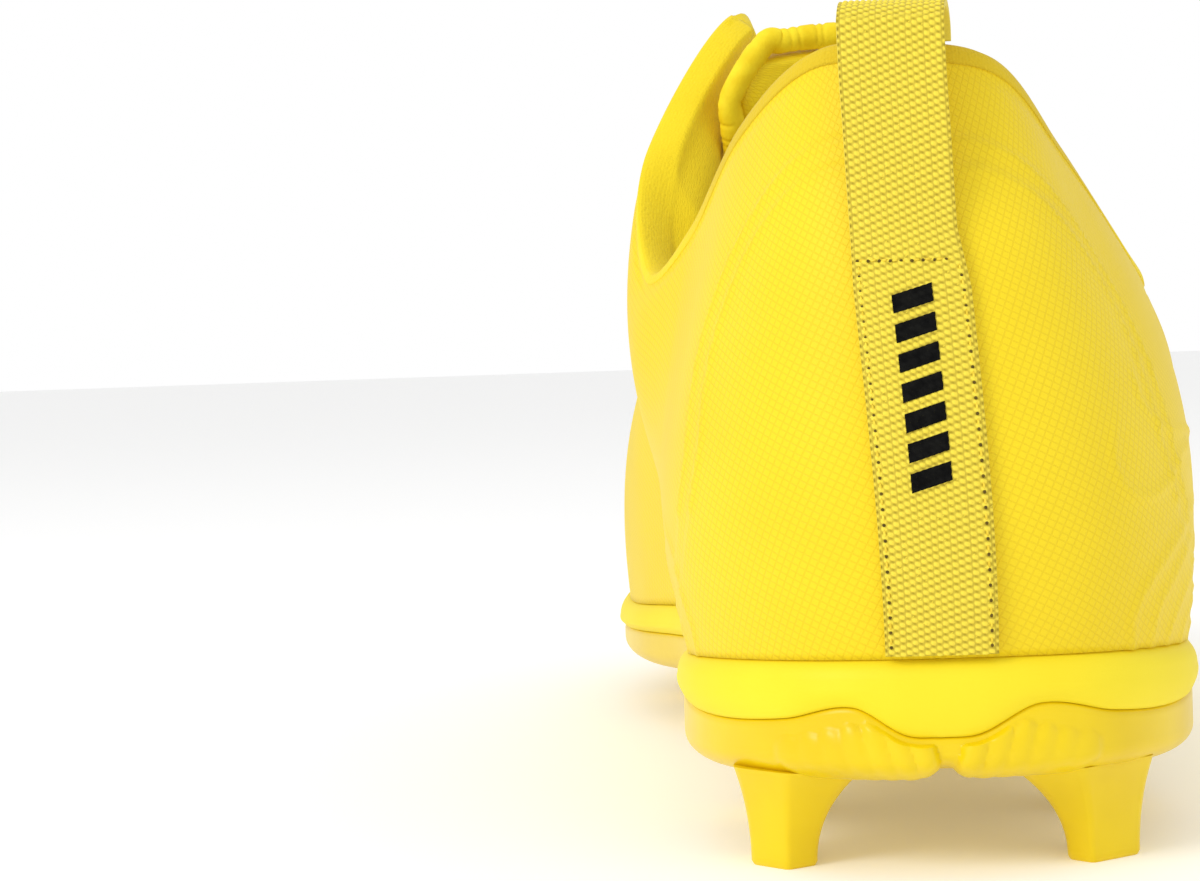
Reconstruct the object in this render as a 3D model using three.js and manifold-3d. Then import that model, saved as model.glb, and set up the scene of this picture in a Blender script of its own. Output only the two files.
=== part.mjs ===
// A moulded-stud cleat for the right foot: a football boot with a one-piece sole plate, a foam
// midsole, a lasted textile upper, a padded collar, a laced throat and a webbing pull loop.
// Millimetres, +Z up, toe towards +Y, the outer (lateral) side of the foot towards +X.
import * as THREE from "three";
import { mergeVertices } from "three/addons/utils/BufferGeometryUtils.js";
import Module from "manifold-3d";

const wasm = await Module();
wasm.setup();

// ---- Driving sizes -----------------------------------------------------------------------
const LAST_LENGTH = 292; // heel to toe along the feather line
const LAST_WIDTH = 102; // across the ball, on the feather line
const COLLAR_RISE = 82; // collar above the feather line, at the back of the heel
const GAP = 0.3; // left between pieces that touch

const STUD_DROP = 11; // plate underside above the ground, near the studs
const PLATE_THICK = 3.2;
const RIM_WALL = 2.7; // upturned wall of the plate that cups the midsole
const BOARD_THICK = 1.6;
const SOCKLINER_THICK = 4;

const SHELL_THICK = 1.6;
const STIFFENER_THICK = 1.4; // heel counter, toe puff and the eyelet backers
const LINING_THICK = 1.0;
const COLLAR_PAD = 5; // extra foam at the fullest part of the collar
const OVERLAY_THICK = 0.9; // eyestays and toe overlay
const FILM_THICK = 0.5; // welded heel arch

const EYELET_ROWS = 6;
const EYELET_RADIUS = 2.3;
const LACE_RADIUS = 1.1;
const AGLET_RADIUS = 1.3;
const AGLET_LENGTH = 16;

const WEB_WIDTH = 14.5; // pull-loop webbing
const WEB_THICK = 1.3;
const LOOP_RISE = 7.5; // top of the loop above the collar
const LOOP_GAP = 10; // between the two legs of the loop
const LOOP_BREAK = 3.4; // below the collar's top, where the webbing is divided for its hinge
const LOOP_SEAT = 3.6; // end of the loop's inner leg, just over the rolled collar
const LEG_OUT = -0.6; // how far the free leg leans, from where its sewn run ends
const LOOP_SKEW = 1.6; // how far the folded end sits to the outer side
const MARK_THICK = 0.35;

const TONGUE_HALF_WIDTH = 24;
const TONGUE_FOAM_THICK = 3.4;
const TONGUE_SKIN_THICK = 1.0;
const TONGUE_BEAD_RADIUS = 1.7;

// ---- The last ----------------------------------------------------------------------------
// Sections round the last at the drafted size, from the back of the heel along the lateral
// side to the toe and back along the medial side. Each row holds the feather-line point (x, y),
// the meridian's shape (bulge in mm, then rise, shoulder and drop as shares) and the rim point
// (x, y, z) where the upper ends, at the collar or at the throat.
const DRAFT = { length: 292, width: 102, rise: 82 };
const SECTIONS = [
  [-1.8, 2.5, 8, 0.36, 0.0, 0.3, -5.8, 12, 112.5],
  [19, 7, 7, 0.36, 0.35, 0.28, 9, 15, 110.5],
  [32.5, 25, 5.5, 0.38, 0.62, 0.28, 19.5, 30, 99.5],
  [36.8, 48, 5.5, 0.38, 1.45, 0.3, 30, 48, 86.3],
  [37.3, 76, 5.5, 0.42, 2.8, 0.26, 35, 65, 80.8],
  [37, 104, 4.5, 0.46, 1.2, 0.3, 31, 86, 88],
  [41, 134, 4, 0.46, 0.6, 0.24, 20.5, 103, 113],
  [46, 166, 3.5, 0.5, 0.62, 0.16, 15, 128, 98.5],
  [48, 198, 3.5, 0.58, 0.6, 0.1, 11, 150, 86],
  [44.5, 232, 3.5, 0.66, 0.58, 0.08, 8, 169, 75],
  [32.5, 266, 4, 0.74, 0.56, 0.1, 4.5, 181, 68],
  [-7, 292, 4, 0.78, 0.55, 0.12, -3, 187, 65],
  [-42, 270, 4, 0.74, 0.56, 0.1, -11.5, 181, 68],
  [-51.5, 240, 3.5, 0.66, 0.58, 0.08, -15.5, 169, 75.5],
  [-54, 206, 3.5, 0.58, 0.6, 0.1, -19, 150, 87],
  [-49.8, 174, 3, 0.5, 0.64, 0.16, -23.5, 128, 101.5],
  [-39.5, 142, 4, 0.46, 0.6, 0.24, -27, 101, 129],
  [-33, 110, 7.5, 0.44, 0.1, 0.3, -42.6, 82, 104.5],
  [-33, 80, 8, 0.42, -0.1, 0.28, -42.5, 65, 84.5],
  [-36.8, 50, 8.5, 0.4, 0.35, 0.3, -35, 48, 90],
  [-33.5, 25, 6.5, 0.38, 0.55, 0.28, -27, 30, 103.5],
  [-20, 7, 7, 0.36, 0.35, 0.28, -17, 16, 112],
];
const COUNT = SECTIONS.length;

// Heights along the length, as [y, z] at the drafted size.
const FEATHER = [
  [0, 30.6], [35, 28.4], [70, 27], [110, 27], [150, 24.5],
  [190, 21.8], [230, 22.2], [262, 25], [292, 29.5],
];
const UNDERSIDE = [
  [0, 2.4], [35, 1], [70, 1], [110, 3], [150, 0.5],
  [190, -1.2], [230, -0.5], [262, 2], [292, 8],
];
// The plate's top edge on the side wall, as [section, height]: a wave round the heel.
const PLATE_EDGE = [
  [0, 19.6], [0.25, 20], [0.62, 23.8], [1.15, 21.9], [1.8, 20.9], [2.9, 22],
  [4, 22.4], [6, 19.5], [8, 16.2], [9.6, 17.2], [11, 22],
];

const scale = {
  x: LAST_WIDTH / DRAFT.width,
  y: LAST_LENGTH / DRAFT.length,
  z: COLLAR_RISE / DRAFT.rise,
};

// A smooth line through [place, value] keys, flat beyond its ends.
function along(keys, at) {
  const n = keys.length;
  const i = Math.max(0, Math.min(n - 2, keys.findIndex((k) => k[0] > at) - 1));
  if (at >= keys[n - 1][0]) return keys[n - 1][1];
  const slope = (j) => {
    const a = keys[Math.max(0, j - 1)];
    const b = keys[Math.min(n - 1, j + 1)];
    return (b[1] - a[1]) / (b[0] - a[0]);
  };
  const width = keys[i + 1][0] - keys[i][0];
  const t = Math.max(0, (at - keys[i][0]) / width);
  const rise = keys[i + 1][1] - keys[i][1];
  const m0 = slope(i) * width;
  const m1 = slope(i + 1) * width;
  return keys[i][1] + t * (m0 + t * (3 * rise - 2 * m0 - m1 + t * (m0 + m1 - 2 * rise)));
}

const featherHeight = (y) => along(FEATHER, y / scale.y);
const underside = (y) => STUD_DROP + along(UNDERSIDE, y / scale.y);
const plateEdge = (u) => {
  const k = (((u % 1) + 1) % 1) * COUNT;
  return along(PLATE_EDGE, Math.min(k, COUNT - k));
};

// The section row at u (0 to 1 round the last), by a closed Catmull-Rom curve.
function section(u) {
  const at = (((u % 1) + 1) % 1) * COUNT;
  const k = Math.floor(at);
  const t = at - k;
  const [a, b, c, d] = [-1, 0, 1, 2].map((j) => SECTIONS[(k + j + COUNT) % COUNT]);
  return b.map((p, i) => {
    const m0 = (c[i] - a[i]) / 2;
    const m1 = (d[i] - p) / 2;
    const rise = c[i] - p;
    return p + t * (m0 + t * (3 * rise - 2 * m0 - m1 + t * (m0 + m1 - 2 * rise)));
  });
}

// The outward direction, in plan, of the curve that two columns of the section rows draw.
function outward(u, column) {
  const [a, b] = [section(u - 1e-4), section(u + 1e-4)];
  const dx = (b[column] - a[column]) * scale.x;
  const dy = (b[column + 1] - a[column + 1]) * scale.y;
  return new THREE.Vector3(dy, -dx, 0).normalize();
}
const rimOut = (u) => outward(u, 6);

// The feather-line point at u and the outward direction there.
function feather(u) {
  const s = section(u);
  const p = new THREE.Vector3(s[0] * scale.x, s[1] * scale.y, 0);
  p.z = featherHeight(p.y);
  return { p, out: outward(u, 0) };
}

// The last's surface: a Bezier meridian at u, from the feather line (v = 0) to the rim (v = 1).
function last(u, v) {
  const s = section(u);
  const { p, out } = feather(u);
  const foot = p.clone();
  foot.z += GAP;
  const draftFoot = along(FEATHER, s[7]);
  const rim = new THREE.Vector3(s[6] * scale.x, s[7] * scale.y, featherHeight(s[7] * scale.y));
  rim.z += (s[8] - draftFoot) * scale.z;
  const height = rim.z - foot.z;
  const low = foot.clone().addScaledVector(out, s[2]);
  low.z += s[3] * height;
  // The meridian meets the rim square to it, but over the toe half way towards the foot.
  const square = rimOut(u);
  const away = new THREE.Vector3(foot.x - rim.x, foot.y - rim.y, 0);
  const across = square.multiplyScalar(Math.max(0, away.dot(square)));
  across.lerp(away, 0.5 * THREE.MathUtils.smoothstep(s[1], 190, 250));
  const high = rim.clone().addScaledVector(across, s[4]);
  high.z -= s[5] * height;
  if (s[4] < 0.5) high.addScaledVector(out, (0.5 - s[4]) * 12);
  return new THREE.CubicBezierCurve3(foot, low, high, rim).getPoint(v);
}

// A point at a height off that surface: positive is outside the shoe.
function skin(u, v, off) {
  const e = 1e-3;
  const du = last(u + e, v).sub(last(u - e, v));
  const dv = last(u, v + e).sub(last(u, v - e));
  return last(u, v).addScaledVector(du.cross(dv).normalize(), off);
}

// ---- Making solids -----------------------------------------------------------------------
const shoe = new THREE.Group();

// One closed mesh: vertices joined, collapsed triangles dropped, faces pointing out.
function closed(geometry) {
  const bare = new THREE.BufferGeometry();
  bare.setAttribute("position", geometry.getAttribute("position"));
  bare.setIndex(geometry.index);
  const merged = mergeVertices(bare, 1e-3);
  const index = merged.index.array;
  const at = merged.attributes.position;
  const kept = [];
  let volume = 0;
  for (let i = 0; i < index.length; i += 3) {
    const [a, b, c] = [index[i], index[i + 1], index[i + 2]];
    if (a === b || b === c || a === c) continue;
    kept.push(a, b, c);
    const [p, q, r] = [a, b, c].map((j) => new THREE.Vector3().fromBufferAttribute(at, j));
    volume += p.dot(q.cross(r));
  }
  if (volume < 0) {
    for (let i = 0; i < kept.length; i += 3) [kept[i], kept[i + 1]] = [kept[i + 1], kept[i]];
  }
  merged.setIndex(kept);
  return merged;
}

// A skin through sections of equal point count, each a closed loop. Ends are closed by rungs
// from the loop's first point to its last and so on inwards, unless the sections close up.
function loft(sections, capped = true) {
  const n = sections[0].length;
  const geometry = new THREE.BufferGeometry().setFromPoints(sections.flat());
  const faces = [];
  for (let row = 0; row + 1 < sections.length; row += 1) {
    for (let i = 0; i < n; i += 1) {
      const [a, b] = [row * n + i, row * n + ((i + 1) % n)];
      // The second half of a section runs back down, so its rungs lean the other way.
      if (i < n / 2) faces.push(a, b, b + n, a, b + n, a + n);
      else faces.push(a, b, a + n, b, b + n, a + n);
    }
  }
  const end = (sections.length - 1) * n;
  for (let i = 0, j = n - 1; capped && i < j; i += 1, j -= 1) {
    faces.push(j, i + 1, i, end + i, end + i + 1, end + j);
    faces.push(j, j - 1, i + 1, end + i + 1, end + j - 1, end + j);
  }
  geometry.setIndex(faces);
  return closed(geometry);
}

const toManifold = (geometry) =>
  new wasm.Manifold(
    new wasm.Mesh({
      numProp: 3,
      vertProperties: geometry.attributes.position.array,
      triVerts: new Uint32Array(geometry.index.array),
    }),
  );

function fromManifold(solid) {
  const mesh = solid.getMesh();
  const geometry = new THREE.BufferGeometry();
  geometry.setAttribute("position", new THREE.BufferAttribute(mesh.vertProperties, 3));
  geometry.setIndex(new THREE.BufferAttribute(mesh.triVerts, 1));
  return geometry;
}

function add(name, geometry, material) {
  const mesh = new THREE.Mesh(geometry, material);
  mesh.name = name;
  shoe.add(mesh);
  return mesh;
}

const finish = (color, roughness) => new THREE.MeshStandardMaterial({ color, roughness, metalness: 0 });
const ripstop = finish(0xf6d52a, 0.6);
const film = finish(0xf8da2a, 0.45);
const plastic = finish(0xf4cf10, 0.35);
const foam = finish(0xfbe04a, 0.75);
const knit = finish(0xe6c23c, 0.9);
const webbing = finish(0xeed048, 0.85);
const stiffener = finish(0xe8e2d0, 0.7);
const cord = finish(0xf0d030, 0.8);

const span = (from, to, steps) =>
  Array.from({ length: steps + 1 }, (_, i) => from + ((to - from) * i) / steps);

// The layers of the upper share one net of facets on the last, so that they lie on each other.
const MERIDIANS = COUNT * 3;
const ROWS = 8;
function net(u, v, off) {
  const i = Math.floor(u * MERIDIANS);
  const j = Math.min(ROWS - 1, Math.max(0, Math.floor(v * ROWS)));
  const [s, t] = [u * MERIDIANS - i, v * ROWS - j];
  const corner = (di, dj) => skin((i + di) / MERIDIANS, (j + dj) / ROWS, off);
  const [third, weights] = t > s ? [corner(0, 1), [1 - t, t - s, s]] : [corner(1, 0), [1 - s, s - t, t]];
  const p = corner(0, 0).multiplyScalar(weights[0]).addScaledVector(third, weights[1]);
  return p.addScaledVector(corner(1, 1), weights[2]);
}
const meridians = ([from, to]) => {
  const first = Math.floor(from * MERIDIANS + 1.25);
  const final = Math.ceil(to * MERIDIANS - 1.25);
  return [from, ...span(first / MERIDIANS, final / MERIDIANS, final - first), to];
};

// A layer of the upper between two depths; reach gives its [lowest, highest] v at u.
function layer({ u, reach, outer, inner, ring = false }) {
  const sections = meridians(u).map((w) => {
    const [low, high] = reach(w);
    const rows = span(0, 1, ROWS).map((v) => Math.min(high, Math.max(low, v)));
    const outside = rows.map((v) => net(w, v, outer(w, v)));
    const inside = rows.map((v) => net(w, v, inner(w, v))).reverse();
    return [...outside, ...inside];
  });
  if (ring) sections[sections.length - 1] = sections[0];
  return loft(sections, !ring);
}

// A slab of the sole, built of rungs across the foot. rim gives [out, z] pairs at u, from the
// middle of the top face round the edge to the middle of the bottom face.
const RUNGS = 36;
function slab(rim, rungs = RUNGS) {
  const side = (u) => {
    const { p, out } = feather(u);
    return rim(u, p.y).map(([reach, z]) => {
      const q = p.clone().addScaledVector(out, reach);
      q.z = z;
      return q;
    });
  };
  const sections = span(0, 1, rungs).map((t) => {
    const u = t ** 1.25 / 2;
    return [...side(u), ...side(1 - u).reverse()];
  });
  return loft(sections, false);
}

// ---- Sole plate, moulded in one piece with its studs ---------------------------------------
const plateTop = (y) => underside(y) + PLATE_THICK;
const EDGE_OUT = 1.3;

const plateBody = slab((u, y) => {
  const low = underside(y);
  const lip = plateEdge(u) - GAP;
  return [
    [EDGE_OUT - RIM_WALL - 0.5, plateTop(y)],
    [EDGE_OUT - RIM_WALL, lip],
    [EDGE_OUT, lip],
    [EDGE_OUT, low + 4],
    [EDGE_OUT - 0.9, low + 2.2],
    [EDGE_OUT - 2.9, low + 0.8],
    [EDGE_OUT - 6.5, low + 0.1],
    [EDGE_OUT - 11, low],
  ];
});

// A stud: its tread outline, standing on the ground, flared up into the plate. The flare is
// wider on the side that faces the middle of the sole.
function stud({ at, outline, flare = 3.2, inward = 0 }) {
  const centre = new THREE.Vector2(at[0] * scale.x, at[1] * scale.y);
  const top = underside(centre.y) + PLATE_THICK / 2;
  const levels = [0, 0.06, 0.45, 0.75, 0.92, 1];
  const sections = levels.map((t) => {
    const spread = t === 0 ? -0.15 : t ** 2.2;
    return outline.map(([x, y]) => {
      const ray = new THREE.Vector2(x, y);
      const way = ray.clone().normalize();
      const facing = Math.max(0, -way.x * Math.sign(centre.x));
      const move = spread * (flare + inward * facing);
      return new THREE.Vector3(
        centre.x + ray.x + way.x * move,
        centre.y + ray.y + way.y * move,
        t * top,
      );
    });
  });
  return loft(sections);
}

const mirrored = (outline) => outline.map(([x, y]) => [-x, y]).reverse();
// Tread outlines round each stud's middle. The heel studs have a ridge facing back.
const HEEL_LATERAL = [[-2.1, -7.6], [5.2, -1.6], [5.4, 5.4], [0.4, 7.6], [-4.6, 3], [-5.2, -4.4]];
const HEEL_MEDIAL = [[0.3, -7.6], [4.5, -4.4], [4.4, 3], [-0.4, 7.6], [-4.8, 5.4], [-4.8, -2.6]];
const BLADE = [[-2.6, -7.5], [1.6, -7.9], [3.2, -2], [3, 5.4], [0.8, 7.9], [-2.2, 5.8], [-3.2, -1]];
const OVAL = [[-2.8, -5], [1.6, -5.6], [3.6, -1.5], [3, 4.2], [0, 5.8], [-3, 3.6], [-3.8, -1]];
const studs = [
  { at: [21.2, 19.6], outline: HEEL_LATERAL, inward: 8.5 },
  { at: [-23.5, 19.6], outline: HEEL_MEDIAL, inward: 7 },
  { at: [24, 62], outline: BLADE, inward: 3 },
  { at: [-24.5, 62], outline: mirrored(BLADE), inward: 3 },
  { at: [36, 158], outline: BLADE, inward: 3 },
  { at: [-35, 168], outline: mirrored(BLADE), inward: 3 },
  { at: [40, 200], outline: BLADE, inward: 3 },
  { at: [-40, 208], outline: mirrored(BLADE), inward: 3 },
  { at: [32, 240], outline: OVAL, inward: 3 },
  { at: [-35, 246], outline: mirrored(OVAL), inward: 3 },
  { at: [-1.5, 218], outline: OVAL },
];
const plate = studs.reduce((whole, one) => whole.add(toManifold(stud(one))), toManifold(plateBody));
add("outsole_plate", fromManifold(plate), plastic);

// ---- Midsole, insole board and sockliner ---------------------------------------------------
const WALL_GAP = 2 * GAP; // between the midsole and the plate's upturned wall
add(
  "midsole",
  slab((u, y) => {
    const top = featherHeight(y);
    const edge = plateEdge(u);
    return [
      [-0.6, top],
      [0.9, top - 0.7],
      [2, top - 2.8],
      [1.9, edge + 1.2],
      [EDGE_OUT, edge],
      [EDGE_OUT - RIM_WALL - WALL_GAP, edge],
      [EDGE_OUT - RIM_WALL - WALL_GAP - 0.5, plateTop(y) + GAP],
    ];
  }),
  foam,
);

const LAYERS_IN = SHELL_THICK + STIFFENER_THICK + LINING_THICK + 3 * GAP;
const flatSlab = (inset, low, high) => slab((u, y) => [[-inset, high(y)], [-inset, low(y)]], 32);
const boardTop = (y) => featherHeight(y) + GAP + BOARD_THICK;
add("insole_board", flatSlab(LAYERS_IN + 0.9, (y) => featherHeight(y) + GAP, boardTop), stiffener);
add(
  "sockliner",
  flatSlab(LAYERS_IN + 1.3, (y) => boardTop(y) + GAP, (y) => boardTop(y) + GAP + SOCKLINER_THICK),
  foam,
);

// ---- Upper -----------------------------------------------------------------------------------
// Places round the last are given in sections, so 6 is the lateral top eyelet corner.
const at = (k) => k / COUNT;
const ease = (x, a, b) => THREE.MathUtils.smoothstep(x, a, b);
const round = (u) => (((u % 1) + 1) % 1) * COUNT;

// Eyelets: evenly along each side of the throat, from the vamp up.
const EYELET_V = 0.925;
const eyelets = (low, high) =>
  span(low, high, EYELET_ROWS - 1).map((k) => {
    const centre = net(at(k), EYELET_V, 0);
    const axis = net(at(k), EYELET_V, 1).sub(centre).normalize();
    return { u: at(k), centre, axis };
  });
const lateralEyelets = eyelets(9.75, 6.75);
const medialEyelets = eyelets(12.25, 15.25);

function punched(geometry) {
  let solid = toManifold(geometry);
  for (const { centre, axis } of [...lateralEyelets, ...medialEyelets]) {
    const punch = new THREE.CylinderGeometry(EYELET_RADIUS, EYELET_RADIUS, 16, 8);
    punch.applyQuaternion(new THREE.Quaternion().setFromUnitVectors(new THREE.Vector3(0, 1, 0), axis));
    punch.translate(centre.x, centre.y, centre.z);
    solid = solid.subtract(toManifold(closed(punch)));
  }
  return fromManifold(solid);
}

add(
  "upper_shell",
  punched(
    layer({
      u: [0, 1],
      reach: () => [0, 1],
      outer: () => 0,
      inner: () => -SHELL_THICK,
      ring: true,
    }),
  ),
  ripstop,
);

const firstInner = -SHELL_THICK - GAP;
const stiffened = firstInner - STIFFENER_THICK;

add(
  "heel_counter",
  layer({
    u: [at(-3.1), at(3.1)],
    reach: (u) => [0.02, 0.56 - 0.3 * ease(Math.abs(u * COUNT), 1, 3.1)],
    outer: () => firstInner,
    inner: () => stiffened,
  }),
  stiffener,
);
const HEEL_FILM = 3.25; // sections each way that the welded heel arch spans
add(
  "heel_overlay",
  layer({
    u: [at(-HEEL_FILM), at(HEEL_FILM)],
    reach: (u) => [0.01, 0.1 + 0.38 * (1 - (u / at(HEEL_FILM)) ** 2)],
    outer: () => GAP + FILM_THICK,
    inner: () => GAP,
  }),
  film,
);
add(
  "toe_puff",
  layer({
    u: [at(8.9), at(13.1)],
    reach: () => [0.02, 0.4],
    outer: () => firstInner,
    inner: () => stiffened,
  }),
  stiffener,
);
add(
  "toe_overlay",
  layer({
    u: [at(8.6), at(13.4)],
    reach: (u) => [0.01, 0.3 + 0.08 * Math.cos((u * COUNT - 11) * 0.9)],
    outer: () => GAP + OVERLAY_THICK,
    inner: () => GAP,
  }),
  film,
);
for (const [side, from, to] of [
  ["lateral", 6.1, 10.3],
  ["medial", 11.7, 15.7],
]) {
  const reach = () => [0.84, 1];
  const OVER = GAP + 0.15;
  add(
    "eyestay_" + side,
    punched(
      layer({ u: [at(from), at(to)], reach, outer: () => OVER + OVERLAY_THICK, inner: () => OVER }),
    ),
    film,
  );
  add(
    "eyelet_backer_" + side,
    punched(
      layer({
        u: [at(from + 0.1), at(to - 0.1)],
        reach: () => [0.86, 0.99],
        outer: () => firstInner,
        inner: () => stiffened,
      }),
    ),
    stiffener,
  );
}

// ---- Collar ----------------------------------------------------------------------------------
const COLLAR_FRONT = 5.9; // sections each way from the back of the heel
const PAD_LOW = 0.56;
const padding = (u, v) => {
  const k = round(u);
  const away = Math.min(k, COUNT - k);
  const forward = 1 - 0.8 * ease(away, 3.5, COLLAR_FRONT);
  const height = ease(v, PAD_LOW - 0.02, 0.8) * (1 - 0.45 * ease(v, 0.9, 1));
  return STIFFENER_THICK + COLLAR_PAD * height * forward;
};
const collarSpan = [at(-COLLAR_FRONT), at(COLLAR_FRONT)];
add(
  "collar_foam",
  layer({
    u: collarSpan,
    reach: () => [PAD_LOW + 0.05, 0.985],
    outer: () => firstInner,
    inner: (u, v) => firstInner - padding(u, v),
  }),
  foam,
);

// The lining backs the foam and rolls over it at the top, to meet the shell's edge.
const LINING_ROWS = [0.02, ...span(1 / ROWS, 1 - 1 / ROWS, ROWS - 2), 0.99];
const collarSections = meridians(collarSpan).map((u) => {
  const face = (v) => firstInner - padding(u, v) - GAP;
  const crown = face(0.99) / 2;
  return [
    ...LINING_ROWS.map((v) => net(u, v, face(v))),
    net(u, 1.01, firstInner),
    net(u, 1.012, -0.3),
    net(u, 1.03, -0.1),
    net(u, 1.042, crown * 0.4),
    net(u, 1.044, crown * 1.3),
    net(u, 1.03, face(0.99) - 0.5),
    ...LINING_ROWS.map((v) => net(u, v, face(v) - LINING_THICK)).reverse(),
  ];
});
add("collar_lining", loft(collarSections), knit);
add(
  "vamp_lining",
  punched(
    layer({
      u: [at(COLLAR_FRONT + 0.05), at(COUNT - COLLAR_FRONT - 0.05)],
      reach: () => [0.02, 0.995],
      outer: () => stiffened - GAP,
      inner: () => stiffened - GAP - LINING_THICK,
    }),
  ),
  knit,
);

// ---- Tongue ----------------------------------------------------------------------------------
// Its outer face follows the throat from under the vamp to above the collar, along this line of
// points at the drafted size, and is arched across the foot. It leans to the inner ankle.
const TONGUE_LINE = [
  [-3, 206, 49.5],
  [-3, 197, 53.5],
  [-3, 187, 57.5],
  [-3, 176, 61],
  [-3.5, 150, 77],
  [-4.5, 128, 91],
  [-7, 106, 107],
  [-9, 97, 116],
  [-11, 92, 124],
];
const TONGUE_ARCH = 30; // radius across the foot
const TONGUE_TAPER = [[0, 0.5], [0.3, 0.58], [0.5, 0.76], [0.78, 0.94], [0.92, 0.88], [1, 0.64]];
const spinePoint = ([x, y, z]) => {
  const foot = along(FEATHER, y);
  const base = featherHeight(y * scale.y);
  return new THREE.Vector3(x * scale.x, y * scale.y, base + (z - foot) * scale.z);
};
const spine = new THREE.CatmullRomCurve3(TONGUE_LINE.map(spinePoint));
const tongueHalf = (t) => TONGUE_HALF_WIDTH * along(TONGUE_TAPER, t);

// A point of the tongue: t up the spine, s across (-1 to 1), and a depth under the outer face.
function tonguePoint(t, s, depth, half = tongueHalf(t)) {
  const p = spine.getPoint(t);
  const way = spine.getTangent(t);
  const normal = new THREE.Vector3(0, way.z, -way.y).normalize();
  const angle = (s * half) / TONGUE_ARCH;
  const radius = TONGUE_ARCH - depth;
  p.x += radius * Math.sin(angle);
  return p.addScaledVector(normal, radius * Math.cos(angle) - TONGUE_ARCH);
}

// The layers share their places up the spine, so that they lie on each other.
const TONGUE_STEPS = span(0, 0.985, 16);
function tongueLayer(top, bottom, steps, trim) {
  const across = [-1, -0.6, -0.2, 0.2, 0.6, 1];
  const sections = steps.map((t) => {
    const half = tongueHalf(t) - trim;
    const upper = across.map((s) => tonguePoint(t, s, top, half));
    const lower = across.map((s) => tonguePoint(t, s, bottom, half)).reverse();
    return [...upper, ...lower];
  });
  return loft(sections);
}
const foamTop = TONGUE_SKIN_THICK + GAP;
const foamBottom = foamTop + TONGUE_FOAM_THICK;
const tongueBack = foamBottom + GAP + TONGUE_SKIN_THICK;
add("tongue_shell", tongueLayer(0, TONGUE_SKIN_THICK, TONGUE_STEPS, 0), ripstop);
add("tongue_foam", tongueLayer(foamTop, foamBottom, TONGUE_STEPS.slice(2, -1), 0.6), foam);
add("tongue_lining", tongueLayer(foamBottom + GAP, tongueBack, TONGUE_STEPS, 0), knit);

// A bead bound round the tongue's edge, from low on one side over the top to the other.
const BEAD_FROM = 0.35;
const beadDepth = tongueBack / 2;
const beadSide = (side) => (t) =>
  tonguePoint(t, side, beadDepth, tongueHalf(t) + TONGUE_BEAD_RADIUS + GAP);
const beadTop = (s) =>
  tonguePoint(1, s, beadDepth).addScaledVector(spine.getTangent(1), TONGUE_BEAD_RADIUS);
const beadPoints = [
  ...span(BEAD_FROM, 0.94, 9).map(beadSide(-1)),
  ...span(-0.85, 0.85, 6).map(beadTop),
  ...span(0.94, BEAD_FROM, 9).map(beadSide(1)),
];

// A round cord's solid along a smooth curve through the points.
function tube(points, radius, stepsEach, sides) {
  const path = new THREE.CatmullRomCurve3(points, false, "centripetal");
  const steps = (points.length - 1) * stepsEach;
  const line = span(0, 1, steps).map((t) => path.getPoint(t));
  let normal = new THREE.Vector3();
  const sections = line.map((p, i) => {
    const way = line[Math.min(steps, i + 1)].clone().sub(line[Math.max(0, i - 1)]).normalize();
    if (i === 0) normal.set(-way.y, way.x, way.z * 0.5 + 0.01);
    normal = normal.addScaledVector(way, -normal.dot(way)).normalize();
    const side = way.clone().cross(normal);
    return span(0, 2 * Math.PI, sides)
      .slice(0, -1)
      .map((a) => {
        const q = p.clone().addScaledVector(normal, radius * Math.cos(a));
        return q.addScaledVector(side, radius * Math.sin(a));
      });
  });
  return loft(sections);
}
add("tongue_binding", tube(beadPoints, TONGUE_BEAD_RADIUS, 2, 8), knit);

// ---- Lace ------------------------------------------------------------------------------------
// Criss-cross: a bar over the bottom eyelets, then each end passes under one side, up through
// the next eyelet and over to the other side. The ends are tucked down beside the tongue.
const ABOVE = GAP + OVERLAY_THICK + LACE_RADIUS + 0.7;
const BELOW = stiffened - GAP - LINING_THICK - LACE_RADIUS - 1;
const off = ({ u }, distance, v) => net(u, v, distance);
const on = ({ centre, axis }, distance) => centre.clone().addScaledVector(axis, distance);
const under = (eyelet) => [off(eyelet, BELOW - 0.4, 1), off(eyelet, BELOW, 0.965), on(eyelet, BELOW)];
function laceHalf(own, other, crossing) {
  const points = [on(own[0], 0), ...under(own[0]).reverse()];
  for (let i = 1; i < EYELET_ROWS; i += 1) {
    const here = i % 2 === 0 ? own[i] : other[i];
    const middle = points[points.length - 1].clone().lerp(off(here, BELOW, 0.995), 0.5);
    middle.z += crossing;
    points.push(middle, ...under(here), on(here, 0), on(here, ABOVE));
    if (i < EYELET_ROWS - 1) points.push(off(here, ABOVE, 1));
  }
  // The end turns back along the eyestay and lies against the outside of the upper.
  const top = EYELET_ROWS % 2 === 1 ? own[EYELET_ROWS - 1] : other[EYELET_ROWS - 1];
  const toeward = round(top.u) < COUNT / 2 ? 1 : -1;
  for (const [forward, v] of [[0.12, 0.9], [0.35, 0.875], [0.7, 0.865]]) {
    points.push(net(top.u + at(toeward * forward), v, ABOVE + 0.9));
  }
  return points;
}
const halves = [
  laceHalf(lateralEyelets, medialEyelets, 2),
  laceHalf(medialEyelets, lateralEyelets, -0.6),
];
const bar = [on(lateralEyelets[0], ABOVE), on(medialEyelets[0], ABOVE)];
bar.splice(1, 0, bar[0].clone().lerp(bar[1], 0.5));
const lacePath = [...halves[0].slice().reverse(), ...bar, ...halves[1]];
add("lace", tube(lacePath, LACE_RADIUS, 2, 6), cord);
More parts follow.
